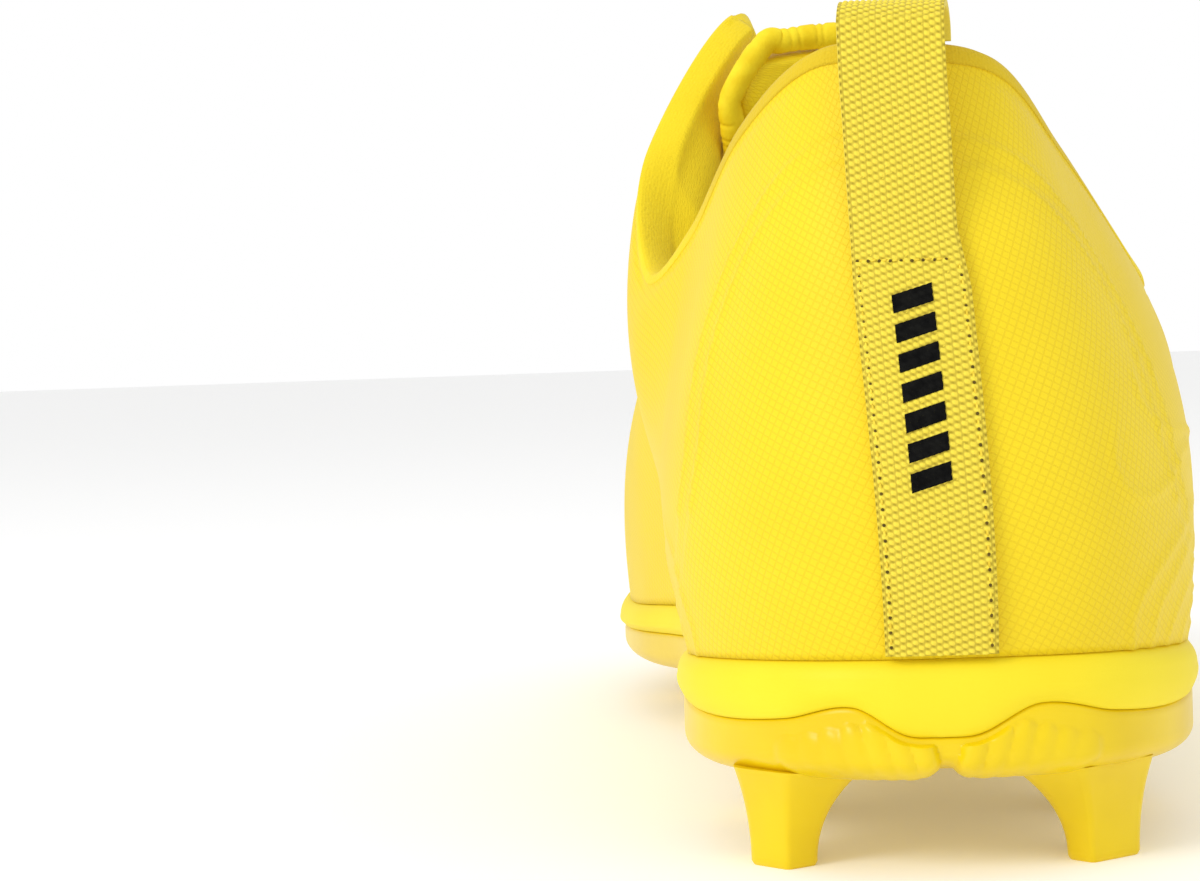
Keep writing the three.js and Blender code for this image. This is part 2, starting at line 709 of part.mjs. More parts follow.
halves.forEach((points, i) => {
  const [before, end] = points.slice(-2);
  const way = end.clone().sub(before).normalize();
  const tip = [2 * GAP, AGLET_LENGTH].map((reach) => end.clone().addScaledVector(way, reach));
  add("aglet_" + (i + 1), tube(tip, AGLET_RADIUS, 1, 8), plastic);
});

// ---- Heel strap and pull loop ------------------------------------------------------------------
// One webbing: sewn flat up the back of the heel to a cross stitch, then free. It rises past the
// collar, folds over and is caught in the collar's seam.
const STITCH_V = 0.64; // where the sewn run ends
const WEB_OFF = GAP + FILM_THICK + GAP;
const webPoint = (v, s, offset) => {
  const across = net(1 / MERIDIANS, v, offset).distanceTo(net(0, v, offset)) * MERIDIANS;
  return net((s * WEB_WIDTH) / 2 / across, v, offset);
};
const ACROSS = [-1, -0.5, 0, 0.5, 1];

// One section of the free webbing: its middle, the direction it runs and how far it is cupped.
function webSection(middle, way, cup) {
  const normal = new THREE.Vector3(0, -way.z, way.y).normalize();
  const row = (lift) =>
    ACROSS.map((s) => {
      const q = middle.clone().addScaledVector(normal, lift - cup * s * s);
      q.x += (s * WEB_WIDTH) / 2;
      return q;
    });
  return [...row(WEB_THICK / 2), ...row(-WEB_THICK / 2).reverse()];
}
function ribbon(points, steps, cupped) {
  const path = new THREE.CatmullRomCurve3(points, false, "centripetal");
  return span(0, 1, steps).map((t) => webSection(path.getPoint(t), path.getTangent(t), cupped(t)));
}

const sewnTop = webPoint(STITCH_V, 0, WEB_OFF + WEB_THICK / 2);
const collarTop = last(0, 1);
const rise = (dy, z) => {
  const share = (collarTop.z + z - sewnTop.z) / (collarTop.z - sewnTop.z);
  const x = THREE.MathUtils.lerp(sewnTop.x, collarTop.x, Math.min(1, share));
  return new THREE.Vector3(x, sewnTop.y + dy, collarTop.z + z);
};
const sewn = span(0.012, STITCH_V - 0.04, 12).map((v) => [
  ...ACROSS.map((s) => webPoint(v, s, WEB_OFF + WEB_THICK)),
  ...ACROSS.map((s) => webPoint(v, s, WEB_OFF)).reverse(),
]);
const cup = webPoint(STITCH_V, 1, WEB_OFF).y - webPoint(STITCH_V, 0, WEB_OFF).y;
const leg = [sewnTop, rise(0.4, -20), rise(LEG_OUT, -10), rise(LEG_OUT, -LOOP_BREAK)];
add("heel_strap", loft([...sewn, ...ribbon(leg, 7, (t) => cup * (1 - t))]), webbing);

// The loop's top is half an ellipse between its two legs.
const apart = (LOOP_GAP + WEB_THICK) / 2;
const crown = LOOP_RISE - WEB_THICK / 2 - LOOP_SEAT;
const turn = (degrees) => {
  const a = THREE.MathUtils.degToRad(degrees);
  const q = rise(LEG_OUT + apart - apart * Math.cos(a), LOOP_SEAT + crown * Math.sin(a));
  q.x += (LOOP_SKEW * (1 - Math.cos(a))) / 2;
  return q;
};
const loopPath = [rise(LEG_OUT, 2 * GAP - LOOP_BREAK), ...span(0, 180, 8).map(turn)];
add("pull_loop", loft(ribbon(loopPath, 22, () => 0)), webbing);

// A thin printed patch down the middle of the sewn run.
const MARK_HALF = 0.36; // share of the webbing's half width
const markSections = span(0.27, 0.58, 8).map((v) => [
  ...[-1, 0, 1].map((s) => webPoint(v, s * MARK_HALF - 0.08, WEB_OFF + WEB_THICK + GAP + MARK_THICK)),
  ...[1, 0, -1].map((s) => webPoint(v, s * MARK_HALF - 0.08, WEB_OFF + WEB_THICK + GAP)),
]);
add("strap_mark", loft(markSections), finish(0x151515, 0.6));

// The part stands on its studs, centred on its own outline.
const outline = new THREE.Box3().setFromObject(shoe);
const middle = outline.getCenter(new THREE.Vector3());
shoe.position.set(-middle.x, -middle.y, -outline.min.z);

export default shoe;
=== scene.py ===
import math

import bmesh
import bpy
import numpy as np
from mathutils import Matrix, Vector


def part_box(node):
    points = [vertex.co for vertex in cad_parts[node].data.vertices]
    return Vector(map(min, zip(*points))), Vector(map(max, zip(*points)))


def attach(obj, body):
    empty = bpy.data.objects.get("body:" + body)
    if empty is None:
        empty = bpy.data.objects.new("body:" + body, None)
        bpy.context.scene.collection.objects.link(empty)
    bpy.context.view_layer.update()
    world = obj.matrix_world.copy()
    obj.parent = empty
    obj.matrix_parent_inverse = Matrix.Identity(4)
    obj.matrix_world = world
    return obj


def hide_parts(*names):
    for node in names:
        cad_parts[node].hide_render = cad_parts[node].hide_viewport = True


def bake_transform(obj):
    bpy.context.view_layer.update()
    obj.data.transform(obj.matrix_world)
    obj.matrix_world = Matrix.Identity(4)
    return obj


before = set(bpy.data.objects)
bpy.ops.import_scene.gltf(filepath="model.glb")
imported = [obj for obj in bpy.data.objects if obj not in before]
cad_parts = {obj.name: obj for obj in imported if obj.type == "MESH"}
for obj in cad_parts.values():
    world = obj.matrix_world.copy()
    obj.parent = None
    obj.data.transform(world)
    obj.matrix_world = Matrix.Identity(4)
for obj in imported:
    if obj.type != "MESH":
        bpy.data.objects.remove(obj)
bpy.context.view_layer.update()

# ---- Camera ----------------------------------------------------------------------------------
# A short telephoto lens close behind the heel, a little above the middle of the shoe. The shoe
# stands to the right of the view's middle, and the view leans two degrees.
MM = 0.001
BEHIND_HEEL = 0.382
CAMERA_X, CAMERA_Z = -0.0201, 0.0752
YAW, TILT, LEAN = 3.5, 90 - 2.05, -2.0
heel_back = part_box("heel_strap")[0].y
camera_data = bpy.data.cameras.new("camera")
camera_data.sensor_width = 36.0
camera_data.lens = 85.5
camera_data.clip_start = 0.02
camera = bpy.data.objects.new("camera", camera_data)
bpy.context.collection.objects.link(camera)
camera.location = (CAMERA_X, heel_back - BEHIND_HEEL, CAMERA_Z)
camera.rotation_mode = "QUATERNION"
camera.rotation_quaternion = (
    Matrix.Rotation(math.radians(YAW), 4, "Z")
    @ Matrix.Rotation(math.radians(TILT), 4, "X")
    @ Matrix.Rotation(math.radians(LEAN), 4, "Z")
).to_quaternion()
bpy.context.scene.camera = camera

# ---- Sole plate and studs ----------------------------------------------------------------------
# One injection-moulded nylon plate with an upturned wall that cups the midsole, its eleven
# studs moulded in. At the back its corner is sculpted in overlapping petals under the wave.
# Sections round the last, as in the CAD: feather line x, y; meridian bulge, rise, shoulder and
# drop; rim x, y, z. They run from the back of the heel along the outer side to the toe and back.
SECTIONS = np.array([
    [-1.8, 2.5, 8, 0.36, 0.0, 0.3, -5.8, 12, 112.5],
    [19, 7, 7, 0.36, 0.35, 0.28, 9, 15, 110.5],
    [32.5, 25, 5.5, 0.38, 0.62, 0.28, 19.5, 30, 99.5],
    [36.8, 48, 5.5, 0.38, 1.45, 0.3, 30, 48, 86.3],
    [37.3, 76, 5.5, 0.42, 2.8, 0.26, 35, 65, 80.8],
    [37, 104, 4.5, 0.46, 1.2, 0.3, 31, 86, 88],
    [41, 134, 4, 0.46, 0.6, 0.24, 20.5, 103, 113],
    [46, 166, 3.5, 0.5, 0.62, 0.16, 15, 128, 98.5],
    [48, 198, 3.5, 0.58, 0.6, 0.1, 11, 150, 86],
    [44.5, 232, 3.5, 0.66, 0.58, 0.08, 8, 169, 75],
    [32.5, 266, 4, 0.74, 0.56, 0.1, 4.5, 181, 68],
    [-7, 292, 4, 0.78, 0.55, 0.12, -3, 187, 65],
    [-42, 270, 4, 0.74, 0.56, 0.1, -11.5, 181, 68],
    [-51.5, 240, 3.5, 0.66, 0.58, 0.08, -15.5, 169, 75.5],
    [-54, 206, 3.5, 0.58, 0.6, 0.1, -19, 150, 87],
    [-49.8, 174, 3, 0.5, 0.64, 0.16, -23.5, 128, 101.5],
    [-39.5, 142, 4, 0.46, 0.6, 0.24, -27, 101, 129],
    [-33, 110, 7.5, 0.44, 0.1, 0.3, -42.6, 82, 104.5],
    [-33, 80, 8, 0.42, -0.1, 0.28, -42.5, 65, 84.5],
    [-36.8, 50, 8.5, 0.4, 0.35, 0.3, -35, 48, 90],
    [-33.5, 25, 6.5, 0.38, 0.55, 0.28, -27, 30, 103.5],
    [-20, 7, 7, 0.36, 0.35, 0.28, -17, 16, 112],
])
COUNT = len(SECTIONS)
FEATHER = [
    [0, 30.6], [35, 28.4], [70, 27], [110, 27], [150, 24.5],
    [190, 21.8], [230, 22.2], [262, 25], [292, 29.5],
]
UNDERSIDE = [
    [0, 2.4], [35, 1], [70, 1], [110, 3], [150, 0.5],
    [190, -1.2], [230, -0.5], [262, 2], [292, 8],
]
PLATE_EDGE = [
    [0, 19.6], [0.25, 20], [0.62, 23.8], [1.15, 21.9], [1.8, 20.9],
    [2.9, 22], [4, 22.4], [6, 19.5], [8, 16.2], [9.6, 17.2],
    [11, 22],
]
GAP = 0.3
STUD_DROP = 11
PLATE_THICK = 3.2
RIM_WALL = 2.7
EDGE_OUT = 1.3
SEAT = 0.05


def along(keys, at):
    """A smooth line through [place, value] keys, flat beyond its ends."""
    x, z = np.asarray(keys, float).T
    n = len(x)
    low = np.maximum(np.arange(n) - 1, 0)
    high = np.minimum(np.arange(n) + 1, n - 1)
    slope = (z[high] - z[low]) / (x[high] - x[low])
    at = np.clip(np.asarray(at, float), x[0], x[-1])
    i = np.clip(np.searchsorted(x, at, side="right") - 1, 0, n - 2)
    width = x[i + 1] - x[i]
    return hermite(z[i], z[i + 1], slope[i] * width, slope[i + 1] * width, (at - x[i]) / width)


def hermite(a, b, leave, arrive, t):
    rise = b - a
    return a + t * (leave + t * (3 * rise - 2 * leave - arrive + t * (leave + arrive - 2 * rise)))


def section(u):
    """The section row at u, 0 to 1 round the last."""
    at = (np.asarray(u, float) % 1) * COUNT
    k = np.floor(at).astype(int)
    a, b, c, d = [SECTIONS[(k + j) % COUNT] for j in (-1, 0, 1, 2)]
    return hermite(b, c, (c - a) / 2, (d - b) / 2, (at - k)[..., None])


def outward(u, column):
    """The outward direction in plan of the line that two columns of the sections draw."""
    step = section(u + 1e-4) - section(u - 1e-4)
    way = np.stack([step[..., column + 1], -step[..., column], 0 * step[..., 0]], -1)
    return way / np.linalg.norm(way, axis=-1, keepdims=True)


def feather(u):
    row = section(u)
    return np.stack([row[..., 0], row[..., 1], along(FEATHER, row[..., 1])], -1), outward(u, 0)


def underside(y):
    return STUD_DROP + along(UNDERSIDE, y)


def plate_edge(u):
    k = (u % 1) * COUNT
    return along(PLATE_EDGE, np.minimum(k, COUNT - k))


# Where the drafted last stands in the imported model: the midsole's outline fixes it.
ring_point, ring_out = feather(np.linspace(0, 1, 1201))
ring_low = (ring_point + 2 * ring_out).min(0)
midsole_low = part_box("midsole")[0]
STAND = np.array([midsole_low.x / MM - ring_low[0], midsole_low.y / MM - ring_low[1], 0])


def bend(name, net, material, weave=None, closed=False):
    """A grid of quads bent to the net's points in drafted millimetres, its seams closed."""
    columns, rows = net.shape[:2]
    form = bmesh.new()
    bmesh.ops.create_grid(form, x_segments=columns - 1, y_segments=rows - 1, size=0.5)
    flat = np.array([v.co for v in form.verts])
    i = np.rint((flat[:, 0] + 0.5) * (columns - 1)).astype(int)
    j = np.rint((flat[:, 1] + 0.5) * (rows - 1)).astype(int)
    data = bpy.data.meshes.new(name)
    form.to_mesh(data)
    form.free()
    data.vertices.foreach_set("co", ((net[i, j] + STAND) * MM).ravel())
    if weave is not None:
        corners = np.empty(len(data.loops), np.int32)
        data.loops.foreach_get("vertex_index", corners)
        data.uv_layers.new(name="weave").uv.foreach_set("vector", weave[i, j][corners].ravel())
    form = bmesh.new()
    form.from_mesh(data)
    bmesh.ops.remove_doubles(form, verts=form.verts, dist=1e-6)
    if closed:
        bmesh.ops.recalc_face_normals(form, faces=form.faces)
    return as_piece(name, form, material, data)


def as_piece(name, form, material, data=None):
    """The made form as an object at the origin, smooth, with its material."""
    for face in form.faces:
        face.smooth = True
    data = data or bpy.data.meshes.new(name)
    form.to_mesh(data)
    form.free()
    data.materials.append(material)
    piece = bpy.data.objects.new(name, data)
    bpy.context.collection.objects.link(piece)
    return piece


def pour(form, into):
    """Moves one form's faces into another."""
    data = bpy.data.meshes.new("poured")
    form.to_mesh(data)
    form.free()
    into.from_mesh(data)
    bpy.data.meshes.remove(data)


def fit(piece, body, slot, *nodes):
    """The piece rides on a body and stands for CAD nodes, which it hides; its slot is not used."""
    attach(piece, body)
    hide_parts(*nodes)
    return piece


def slab(name, profile, rungs, material):
    """A slab of the sole from rungs across the foot. profile gives reach and height from the
    middle of the top, round the edge, to the middle of the bottom."""
    half = np.linspace(0, 1, rungs + 1) ** 1.25 / 2

    def side(u):
        p, out = feather(u)
        rows = zip(*profile(u, p[:, 1]))
        reach, height = [np.stack(np.broadcast_arrays(u, *row)[1:], 1) for row in rows]
        points = p[:, None] + out[:, None] * reach[..., None]
        points[..., 2] = height
        return points

    loop = np.concatenate([side(half), side(1 - half)[:, ::-1]], 1)
    return bend(name, np.concatenate([loop, loop[:, :1]], 1), material, closed=True)


def plain(name, colour, roughness, **sockets):
    """A new material: its node tree and shader, with sockets set on the shader itself."""
    material = bpy.data.materials.new(name)
    material.use_nodes = True
    shader = material.node_tree.nodes["Principled BSDF"]
    shader.inputs["Base Color"].default_value = (*colour, 1)
    shader.inputs["Roughness"].default_value = roughness
    for socket, value in sockets.items():
        shader.inputs[socket.replace("_", " ")].default_value = value
    return material


def node(material, kind, inputs=(), **settings):
    """A node with its settings, its inputs set to numbers or joined to other nodes' sockets."""
    made = material.node_tree.nodes.new("ShaderNode" + kind)
    for key, value in settings.items():
        setattr(made, key, value)
    for socket, value in dict(inputs).items():
        if isinstance(value, bpy.types.NodeSocket):
            material.node_tree.links.new(value, made.inputs[socket])
        else:
            made.inputs[socket].default_value = value
    return made


def feed(material, output, socket="Base Color"):
    """Joins a node's output to a socket of the shader."""
    shader = material.node_tree.nodes["Principled BSDF"]
    material.node_tree.links.new(output, shader.inputs[socket])


def blotch(material, colour, other, scale):
    """The base colour drifts between two tones over a soft noise."""
    place = node(material, "TexCoord").outputs["Object"]
    noise = node(material, "TexNoise", {"Vector": place, "Scale": scale, "Detail": 3.0})
    tones = node(material, "ValToRGB", {"Fac": noise.outputs["Fac"]})
    for element, at, tone in zip(tones.color_ramp.elements, (0.35, 0.65), (colour, other)):
        element.position = at
        element.color = (*tone, 1)
    feed(material, tones.outputs["Color"])
    return tones.outputs["Color"]


def grain(material, scale, depth, height=None, strength=0.5):
    """Fine relief: a noise, or a given height, as a bump of that depth in metres."""
    if height is None:
        place = node(material, "TexCoord").outputs["Object"]
        noise = node(material, "TexNoise", {"Vector": place, "Scale": scale, "Detail": 2.0})
        height = noise.outputs["Fac"]
    bump = node(material, "Bump", {"Height": height, "Strength": strength, "Distance": depth})
    feed(material, bump.outputs["Normal"], "Normal")


nylon = plain(
    "moulded_nylon", (0.84, 0.615, 0.003), 0.34,
    Specular_IOR_Level=0.3, Coat_Weight=0.08, Coat_Roughness=0.25,
)
blotch(nylon, (0.86, 0.63, 0.003), (0.8, 0.57, 0.002), 60)
grain(nylon, 900, 0.00006, strength=0.3)

# Petals at the back corner overlap like scales and lean away from the middle: how far out the
# first stands, their pitch, and the height and the relief of the first and of each one after it.
PETAL_SIDES = [(-4.2, -2.8, 7, 6.6, 1.7), (2.4, 2.9, 6, 6.0, 1.5)]
PETAL_MIDDLE = 17.2
PETAL_HALF_WIDTH = 1.85
PETAL_LEAN = 0.28


def petals(x, z):
    """How far the petals stand out from the plate's wall at x and z."""
    stand = 0 * x
    for first, pitch, number, tall, relief in PETAL_SIDES:
        for i in range(number):
            lean = math.copysign(PETAL_LEAN, first) * (z - PETAL_MIDDLE)
            aside = (x - first - pitch * i - lean) / (PETAL_HALF_WIDTH + 0.15 * i)
            upward = (z - PETAL_MIDDLE + 0.25 * i) / (tall - 0.45 * i)
            inside = np.sqrt(np.maximum(0, 1 - aside**2 - upward**2))
            stand = np.maximum(stand, relief * (1 - 0.11 * i) * inside)
    return stand


WALL_FOOT = 4.0
TURN_UNDER = 7.0
NOTCH_DEEP = 1.7


def plate_profile(u, y):
    low = underside(y)
    lip = plate_edge(u) - SEAT
    top = low + PLATE_THICK
    inner = EDGE_OUT - RIM_WALL
    x = feather(u)[0][:, 0]
    back = 1 - np.clip((y - 12) / 16, 0, 1)
    notch = NOTCH_DEEP * np.exp(-(((x + 1.3) / 2.2) ** 2)) * back
    rows = [(inner - 0.5, top), (inner, lip - 0.4), (inner + 0.4, lip)]
    rows += [(EDGE_OUT - 0.45, lip), (EDGE_OUT - 0.1, lip - 0.35)]
    wall_low = low + WALL_FOOT
    for t in np.linspace(0, 1, 15):
        z = (lip - 0.8) * (1 - t) + wall_low * t
        rows.append((EDGE_OUT + petals(x, z) * back * min(1, 6 * t), z))
    for t in np.linspace(0, math.pi / 2, 14)[1:]:
        z = low + WALL_FOOT * (1 - math.sin(t)) + notch * math.sin(t)
        reach = EDGE_OUT - TURN_UNDER * (1 - math.cos(t))
        rows.append((reach + petals(x, z) * back * math.cos(t), z - 0.25 * petals(x, z) * back))
    rows.append((EDGE_OUT - 9.0, low + 0.7 * notch))
    rows.append((EDGE_OUT - 14.0, low))
    return rows


plate = slab("sole_plate", plate_profile, 300, nylon)

# Tread outlines round each stud's middle, as in the CAD.
HEEL_LATERAL = [(-2.1, -7.6), (5.2, -1.6), (5.4, 5.4), (0.4, 7.6), (-4.6, 3), (-5.2, -4.4)]
HEEL_MEDIAL = [(0.3, -7.6), (4.5, -4.4), (4.4, 3), (-0.4, 7.6), (-4.8, 5.4), (-4.8, -2.6)]
BLADE = [(-2.6, -7.5), (1.6, -7.9), (3.2, -2), (3, 5.4), (0.8, 7.9), (-2.2, 5.8), (-3.2, -1)]
OVAL = [(-2.8, -5), (1.6, -5.6), (3.6, -1.5), (3, 4.2), (0, 5.8), (-3, 3.6), (-3.8, -1)]
STUDS = [
    (21.2, 19.6, HEEL_LATERAL, 8.5),
    (-23.5, 19.6, HEEL_MEDIAL, 7),
    (24, 62, BLADE, 3),
    (-24.5, 62, BLADE, 3),
    (36, 158, BLADE, 3),
    (-35, 168, BLADE, 3),
    (40, 200, BLADE, 3),
    (-40, 208, BLADE, 3),
    (32, 240, OVAL, 3),
    (-35, 246, OVAL, 3),
    (-1.5, 218, OVAL, 0),
]
FLARE = 3.2


def stud_form(x, y, outline, inward):
    """One stud, drawn up from its tread with a flare that is widest towards the sole's middle."""
    side = math.copysign(1, x)
    form = bmesh.new()
    turned = [(px * (side if outline in (BLADE, OVAL) else 1), py) for px, py in outline]
    form.faces.new([form.verts.new((px, py, 0)) for px, py in turned])
    bmesh.ops.bevel(
        form, geom=list(form.verts), offset=0.7, offset_type="OFFSET", segments=3,
        profile=0.5, affect="VERTICES", material=-1,
    )
    face = form.faces[:][0]
    top = float(underside(y)) + PLATE_THICK / 2
    rings = np.concatenate([[0.04], np.linspace(0.1, 1, 16)])
    home = {v: v.co.copy() for v in face.verts}
    # The tread's rim is drawn in a little, so that the stud ends in a soft edge.
    for v in face.verts:
        v.co.x -= 0.35 * v.co.normalized().x
        v.co.y -= 0.35 * v.co.normalized().y
    for t in rings:
        made = bmesh.ops.extrude_face_region(form, geom=[face])
        new_face = [g for g in made["geom"] if isinstance(g, bmesh.types.BMFace)][0]
        new_home = {}
        for v in new_face.verts:
            old = min(home, key=lambda w: (w.co.xy - v.co.xy).length)
            new_home[v] = home[old]
        if face.is_valid and t != rings[0]:
            form.faces.remove(face)
        for v, spot in new_home.items():
            way = Vector((spot.x, spot.y)).normalized()
            facing = max(0.0, -way.x * side)
            outer = max(0.0, way.x * side)
            move = t**2.2 * (FLARE * (1 - 0.3 * outer) + inward * facing)
            v.co = Vector((spot.x + way.x * move, spot.y + way.y * move, t * top))
        face, home = new_face, new_home
    bmesh.ops.recalc_face_normals(form, faces=form.faces)
    bmesh.ops.translate(form, verts=form.verts, vec=(x, y, 0))
    return form


sole = bmesh.new()
for x, y, outline, inward in STUDS:
    stud = stud_form(x, y, outline, inward)
    stud.transform(Matrix.Scale(MM, 4) @ Matrix.Translation(Vector(STAND)))
    pour(stud, sole)
sole.from_mesh(plate.data)
for f in sole.faces:
    f.smooth = True
sole.to_mesh(plate.data)
sole.free()
creases = plate.modifiers.new("creases", "BEVEL")
creases.limit_method = "ANGLE"
creases.angle_limit = math.radians(38)
creases.width = 0.0002
creases.segments = 2
fit(plate, "shoe", "stud_plastic", "outsole_plate")

# ---- Midsole -----------------------------------------------------------------------------------
# Compression-moulded foam with a smooth skin, cemented into the plate. Its top edge is a soft
# roll that stands out round the upper.
foam_skin = plain("midsole_foam", (0.93, 0.76, 0.018), 0.55, Specular_IOR_Level=0.3)
blotch(foam_skin, (0.94, 0.77, 0.02), (0.9, 0.72, 0.014), 35)
grain(foam_skin, 2600, 0.00008, strength=0.25)


def midsole_profile(u, y):
    top = along(FEATHER, y)
    edge = plate_edge(u)
    rows = [(-2.5, top), (-0.8, top)]
    for t in np.linspace(0, math.pi / 2, 9)[1:]:
        rows.append((-0.8 + 2.95 * math.sin(t), top - 3.4 * (1 - math.cos(t))))
    low = edge + 0.5
    for t in np.linspace(0.15, 1, 7):
        bulge = 0.35 * math.sin(math.pi * t)
        rows.append((2.15 - 0.55 * t + bulge, (top - 3.4) * (1 - t) + low * t))
    rows += [(1.35, edge + 0.12), (0.9, edge)]
    inner = EDGE_OUT - RIM_WALL - 2 * GAP
    rows += [(inner, edge), (inner - 0.5, underside(y) + PLATE_THICK + GAP)]
    return rows


fit(slab("midsole_body", midsole_profile, 220, foam_skin), "shoe", "midsole_foam", "midsole")

# ---- Insole board and sockliner ----------------------------------------------------------------
# The board is stiff felted cellulose under the foot. The sockliner is a moulded foam sheet with
# a brushed cloth face, and lies loose on it.
board = plain("felted_board", (0.62, 0.56, 0.42), 0.9)
blotch(board, (0.64, 0.58, 0.44), (0.55, 0.49, 0.36), 300)
grain(board, 1800, 0.0002)


def dress(name, material):
    """Gives a carried CAD node its material."""
    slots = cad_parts[name].data.materials
    slots.clear()
    slots.append(material)


dress("insole_board", board)

brushed = plain("brushed_cloth", (0.7, 0.5, 0.03), 0.85, Sheen_Weight=0.3, Sheen_Roughness=0.5)
blotch(brushed, (0.72, 0.52, 0.03), (0.62, 0.43, 0.02), 180)
grain(brushed, 2200, 0.00015)
SHELL_THICK = 1.6
STIFFENER_THICK = 1.4
LINING_THICK = 1.0
LAYERS_IN = SHELL_THICK + STIFFENER_THICK + LINING_THICK + 3 * GAP


def liner_profile(u, y):
    floor = along(FEATHER, y) + GAP + 1.6 + GAP
    rim = -LAYERS_IN - 1.3
    rows = [(rim - 6, floor + 3.6), (rim - 2.5, floor + 3.8)]
    for t in np.linspace(0, math.pi / 2, 6):
        rows.append((rim - 1.2 + 1.2 * math.sin(t), floor + 4 - 1.2 * (1 - math.cos(t))))
    return rows + [(rim - 0.3, floor + 0.2), (rim - 0.8, floor)]


liner = slab("sockliner_pad", liner_profile, 90, brushed)
fit(liner, "shoe", "soft_foam", "sockliner")

# ---- Upper shell -------------------------------------------------------------------------------
# Coated ripstop cloth pulled over the last and cemented under the midsole's edge. A moulded heel
# piece shows through it as two arches, and pressed ribs fan out over the outer quarter.


def ease(x, a, b):
    t = np.clip((x - a) / (b - a), 0, 1)
    return t * t * (3 - 2 * t)


def last(u, v):
    """The last's surface: a Bezier meridian at u from the feather line (v 0) to the rim (v 1)."""
    row = section(u)
    out = outward(u, 0)
    foot = np.stack([row[..., 0], row[..., 1], along(FEATHER, row[..., 1]) + GAP], -1)
    rim = row[..., 6:9]
    height = (rim - foot)[..., 2:]
    lift = np.array([0, 0, 1.0])
    low = foot + out * row[..., 2:3] + lift * row[..., 3:4] * height
    square = outward(u, 6)
    away = (foot - rim) * np.array([1, 1, 0])
    across = square * np.maximum(0, (away * square).sum(-1, keepdims=True))
    across = across + (away - across) * 0.5 * ease(row[..., 1:2], 190, 250)
    high = rim + across * row[..., 4:5] - lift * row[..., 5:6] * height
    high = high + out * np.maximum(0, 0.5 - row[..., 4:5]) * 12
    v = np.asarray(v, float)[..., None]
    w = 1 - v
    return w**3 * foot + 3 * w * w * v * low + 3 * w * v * v * high + v**3 * rim


def skin(u, v, off):
    """A point at a height off that surface, outside it where positive."""
    u, v, off = np.broadcast_arrays(np.asarray(u, float), v, off)
    e = 1e-3
    normal = np.cross(last(u + e, v) - last(u - e, v), last(u, v + e) - last(u, v - e))
    normal /= np.linalg.norm(normal, axis=-1, keepdims=True)
    return last(u, v) + normal * off[..., None]


def run_along(path):
    """The distance along a path at each of its points."""
    return np.concatenate([[0], np.cumsum(np.linalg.norm(np.diff(path, axis=0), axis=1))])


def curve(points, at):
    """A smooth line through points, at places counted in points."""
    keys = np.arange(len(points), dtype=float)
    columns = np.asarray(points, float).T
    return np.stack([along(np.stack([keys, column], 1), at) for column in columns], -1)


def thicken(piece, metres, offset=-1):
    wall = piece.modifiers.new("thickness", "SOLIDIFY")
    wall.thickness = metres
    wall.offset = offset


def maths(material, operation, *values):
    return node(material, "Math", dict(enumerate(values)), operation=operation).outputs[0]


def cloth_map(net):
    """Distances along the net's columns and rows in millimetres, for a weave to follow."""
    across = run_along(net[:, net.shape[1] // 2])
    steps = np.linalg.norm(np.diff(net, axis=1), axis=2)
    up = np.concatenate([np.zeros((len(net), 1)), np.cumsum(steps, axis=1)], 1)
    return np.stack([np.broadcast_to(across[:, None], up.shape), up], -1)


def ripstop_cloth(name, colour, shade, roughness, spacing=1.15, turn=28):
    """Coated cloth with a fine diagonal grid of thicker threads, pressed in."""
    material = plain(name, colour, roughness, Specular_IOR_Level=0.25, Sheen_Weight=0.05)
    place = node(material, "UVMap", uv_map="weave").outputs["UV"]
    turned = node(
        material, "Mapping", {"Vector": place, "Rotation": (0, 0, math.radians(turn))}
    ).outputs["Vector"]
    parts = node(material, "SeparateXYZ", {"Vector": turned}).outputs
    lines = []
    for axis, pitch in (("X", spacing), ("Y", spacing * 0.86)):
        far = maths(material, "PINGPONG", maths(material, "MULTIPLY", parts[axis], 1 / pitch), 0.5)
        line = node(
            material, "MapRange",
            {"Value": far, "From Min": 0.03, "From Max": 0.16, "To Min": 1.0, "To Max": 0.0},
            interpolation_type="SMOOTHSTEP",
        )
        lines.append(line.outputs["Result"])
    grid = maths(material, "MAXIMUM", *lines)
    tones = blotch(material, colour, shade, 28)
    dark = node(
        material, "Mix",
        {"A": tones, "B": (shade[0] * 0.86, shade[1] * 0.8, shade[2] * 0.6, 1)},
        data_type="RGBA",
    )
    weaken = maths(material, "MULTIPLY", grid, 0.42)
    material.node_tree.links.new(weaken, dark.inputs["Factor"])
    feed(material, dark.outputs["Result"])
    fine = node(material, "TexNoise", {"Vector": place, "Scale": 3.2, "Detail": 2.0}).outputs["Fac"]
    relief = maths(material, "SUBTRACT", maths(material, "MULTIPLY", fine, 0.35), grid)
    grain(material, 1, 0.00006, height=relief, strength=0.55)
    return material


ripstop = ripstop_cloth("coated_ripstop", (0.91, 0.69, 0.012), (0.87, 0.645, 0.009), 0.5)

# The arches' outline round the heel, from the implicit curve |k / wide|^2.6 + (v / tall)^2.2 = 1.
ARCH_WIDE = 2.05
ARCH_FOOT = 0.43
ARCH_TALL = 0.42


def arch_share(k, v, size):
    wide = ARCH_WIDE * size + 0.9 * np.maximum(0, (ARCH_FOOT - v) / ARCH_FOOT) ** 2
    tall = np.maximum(0, (v - ARCH_FOOT) / (ARCH_TALL - 0.05 * (1 - size) / 0.12))
    return 1 - (np.abs(k) / wide) ** 2.6 - tall**2.2


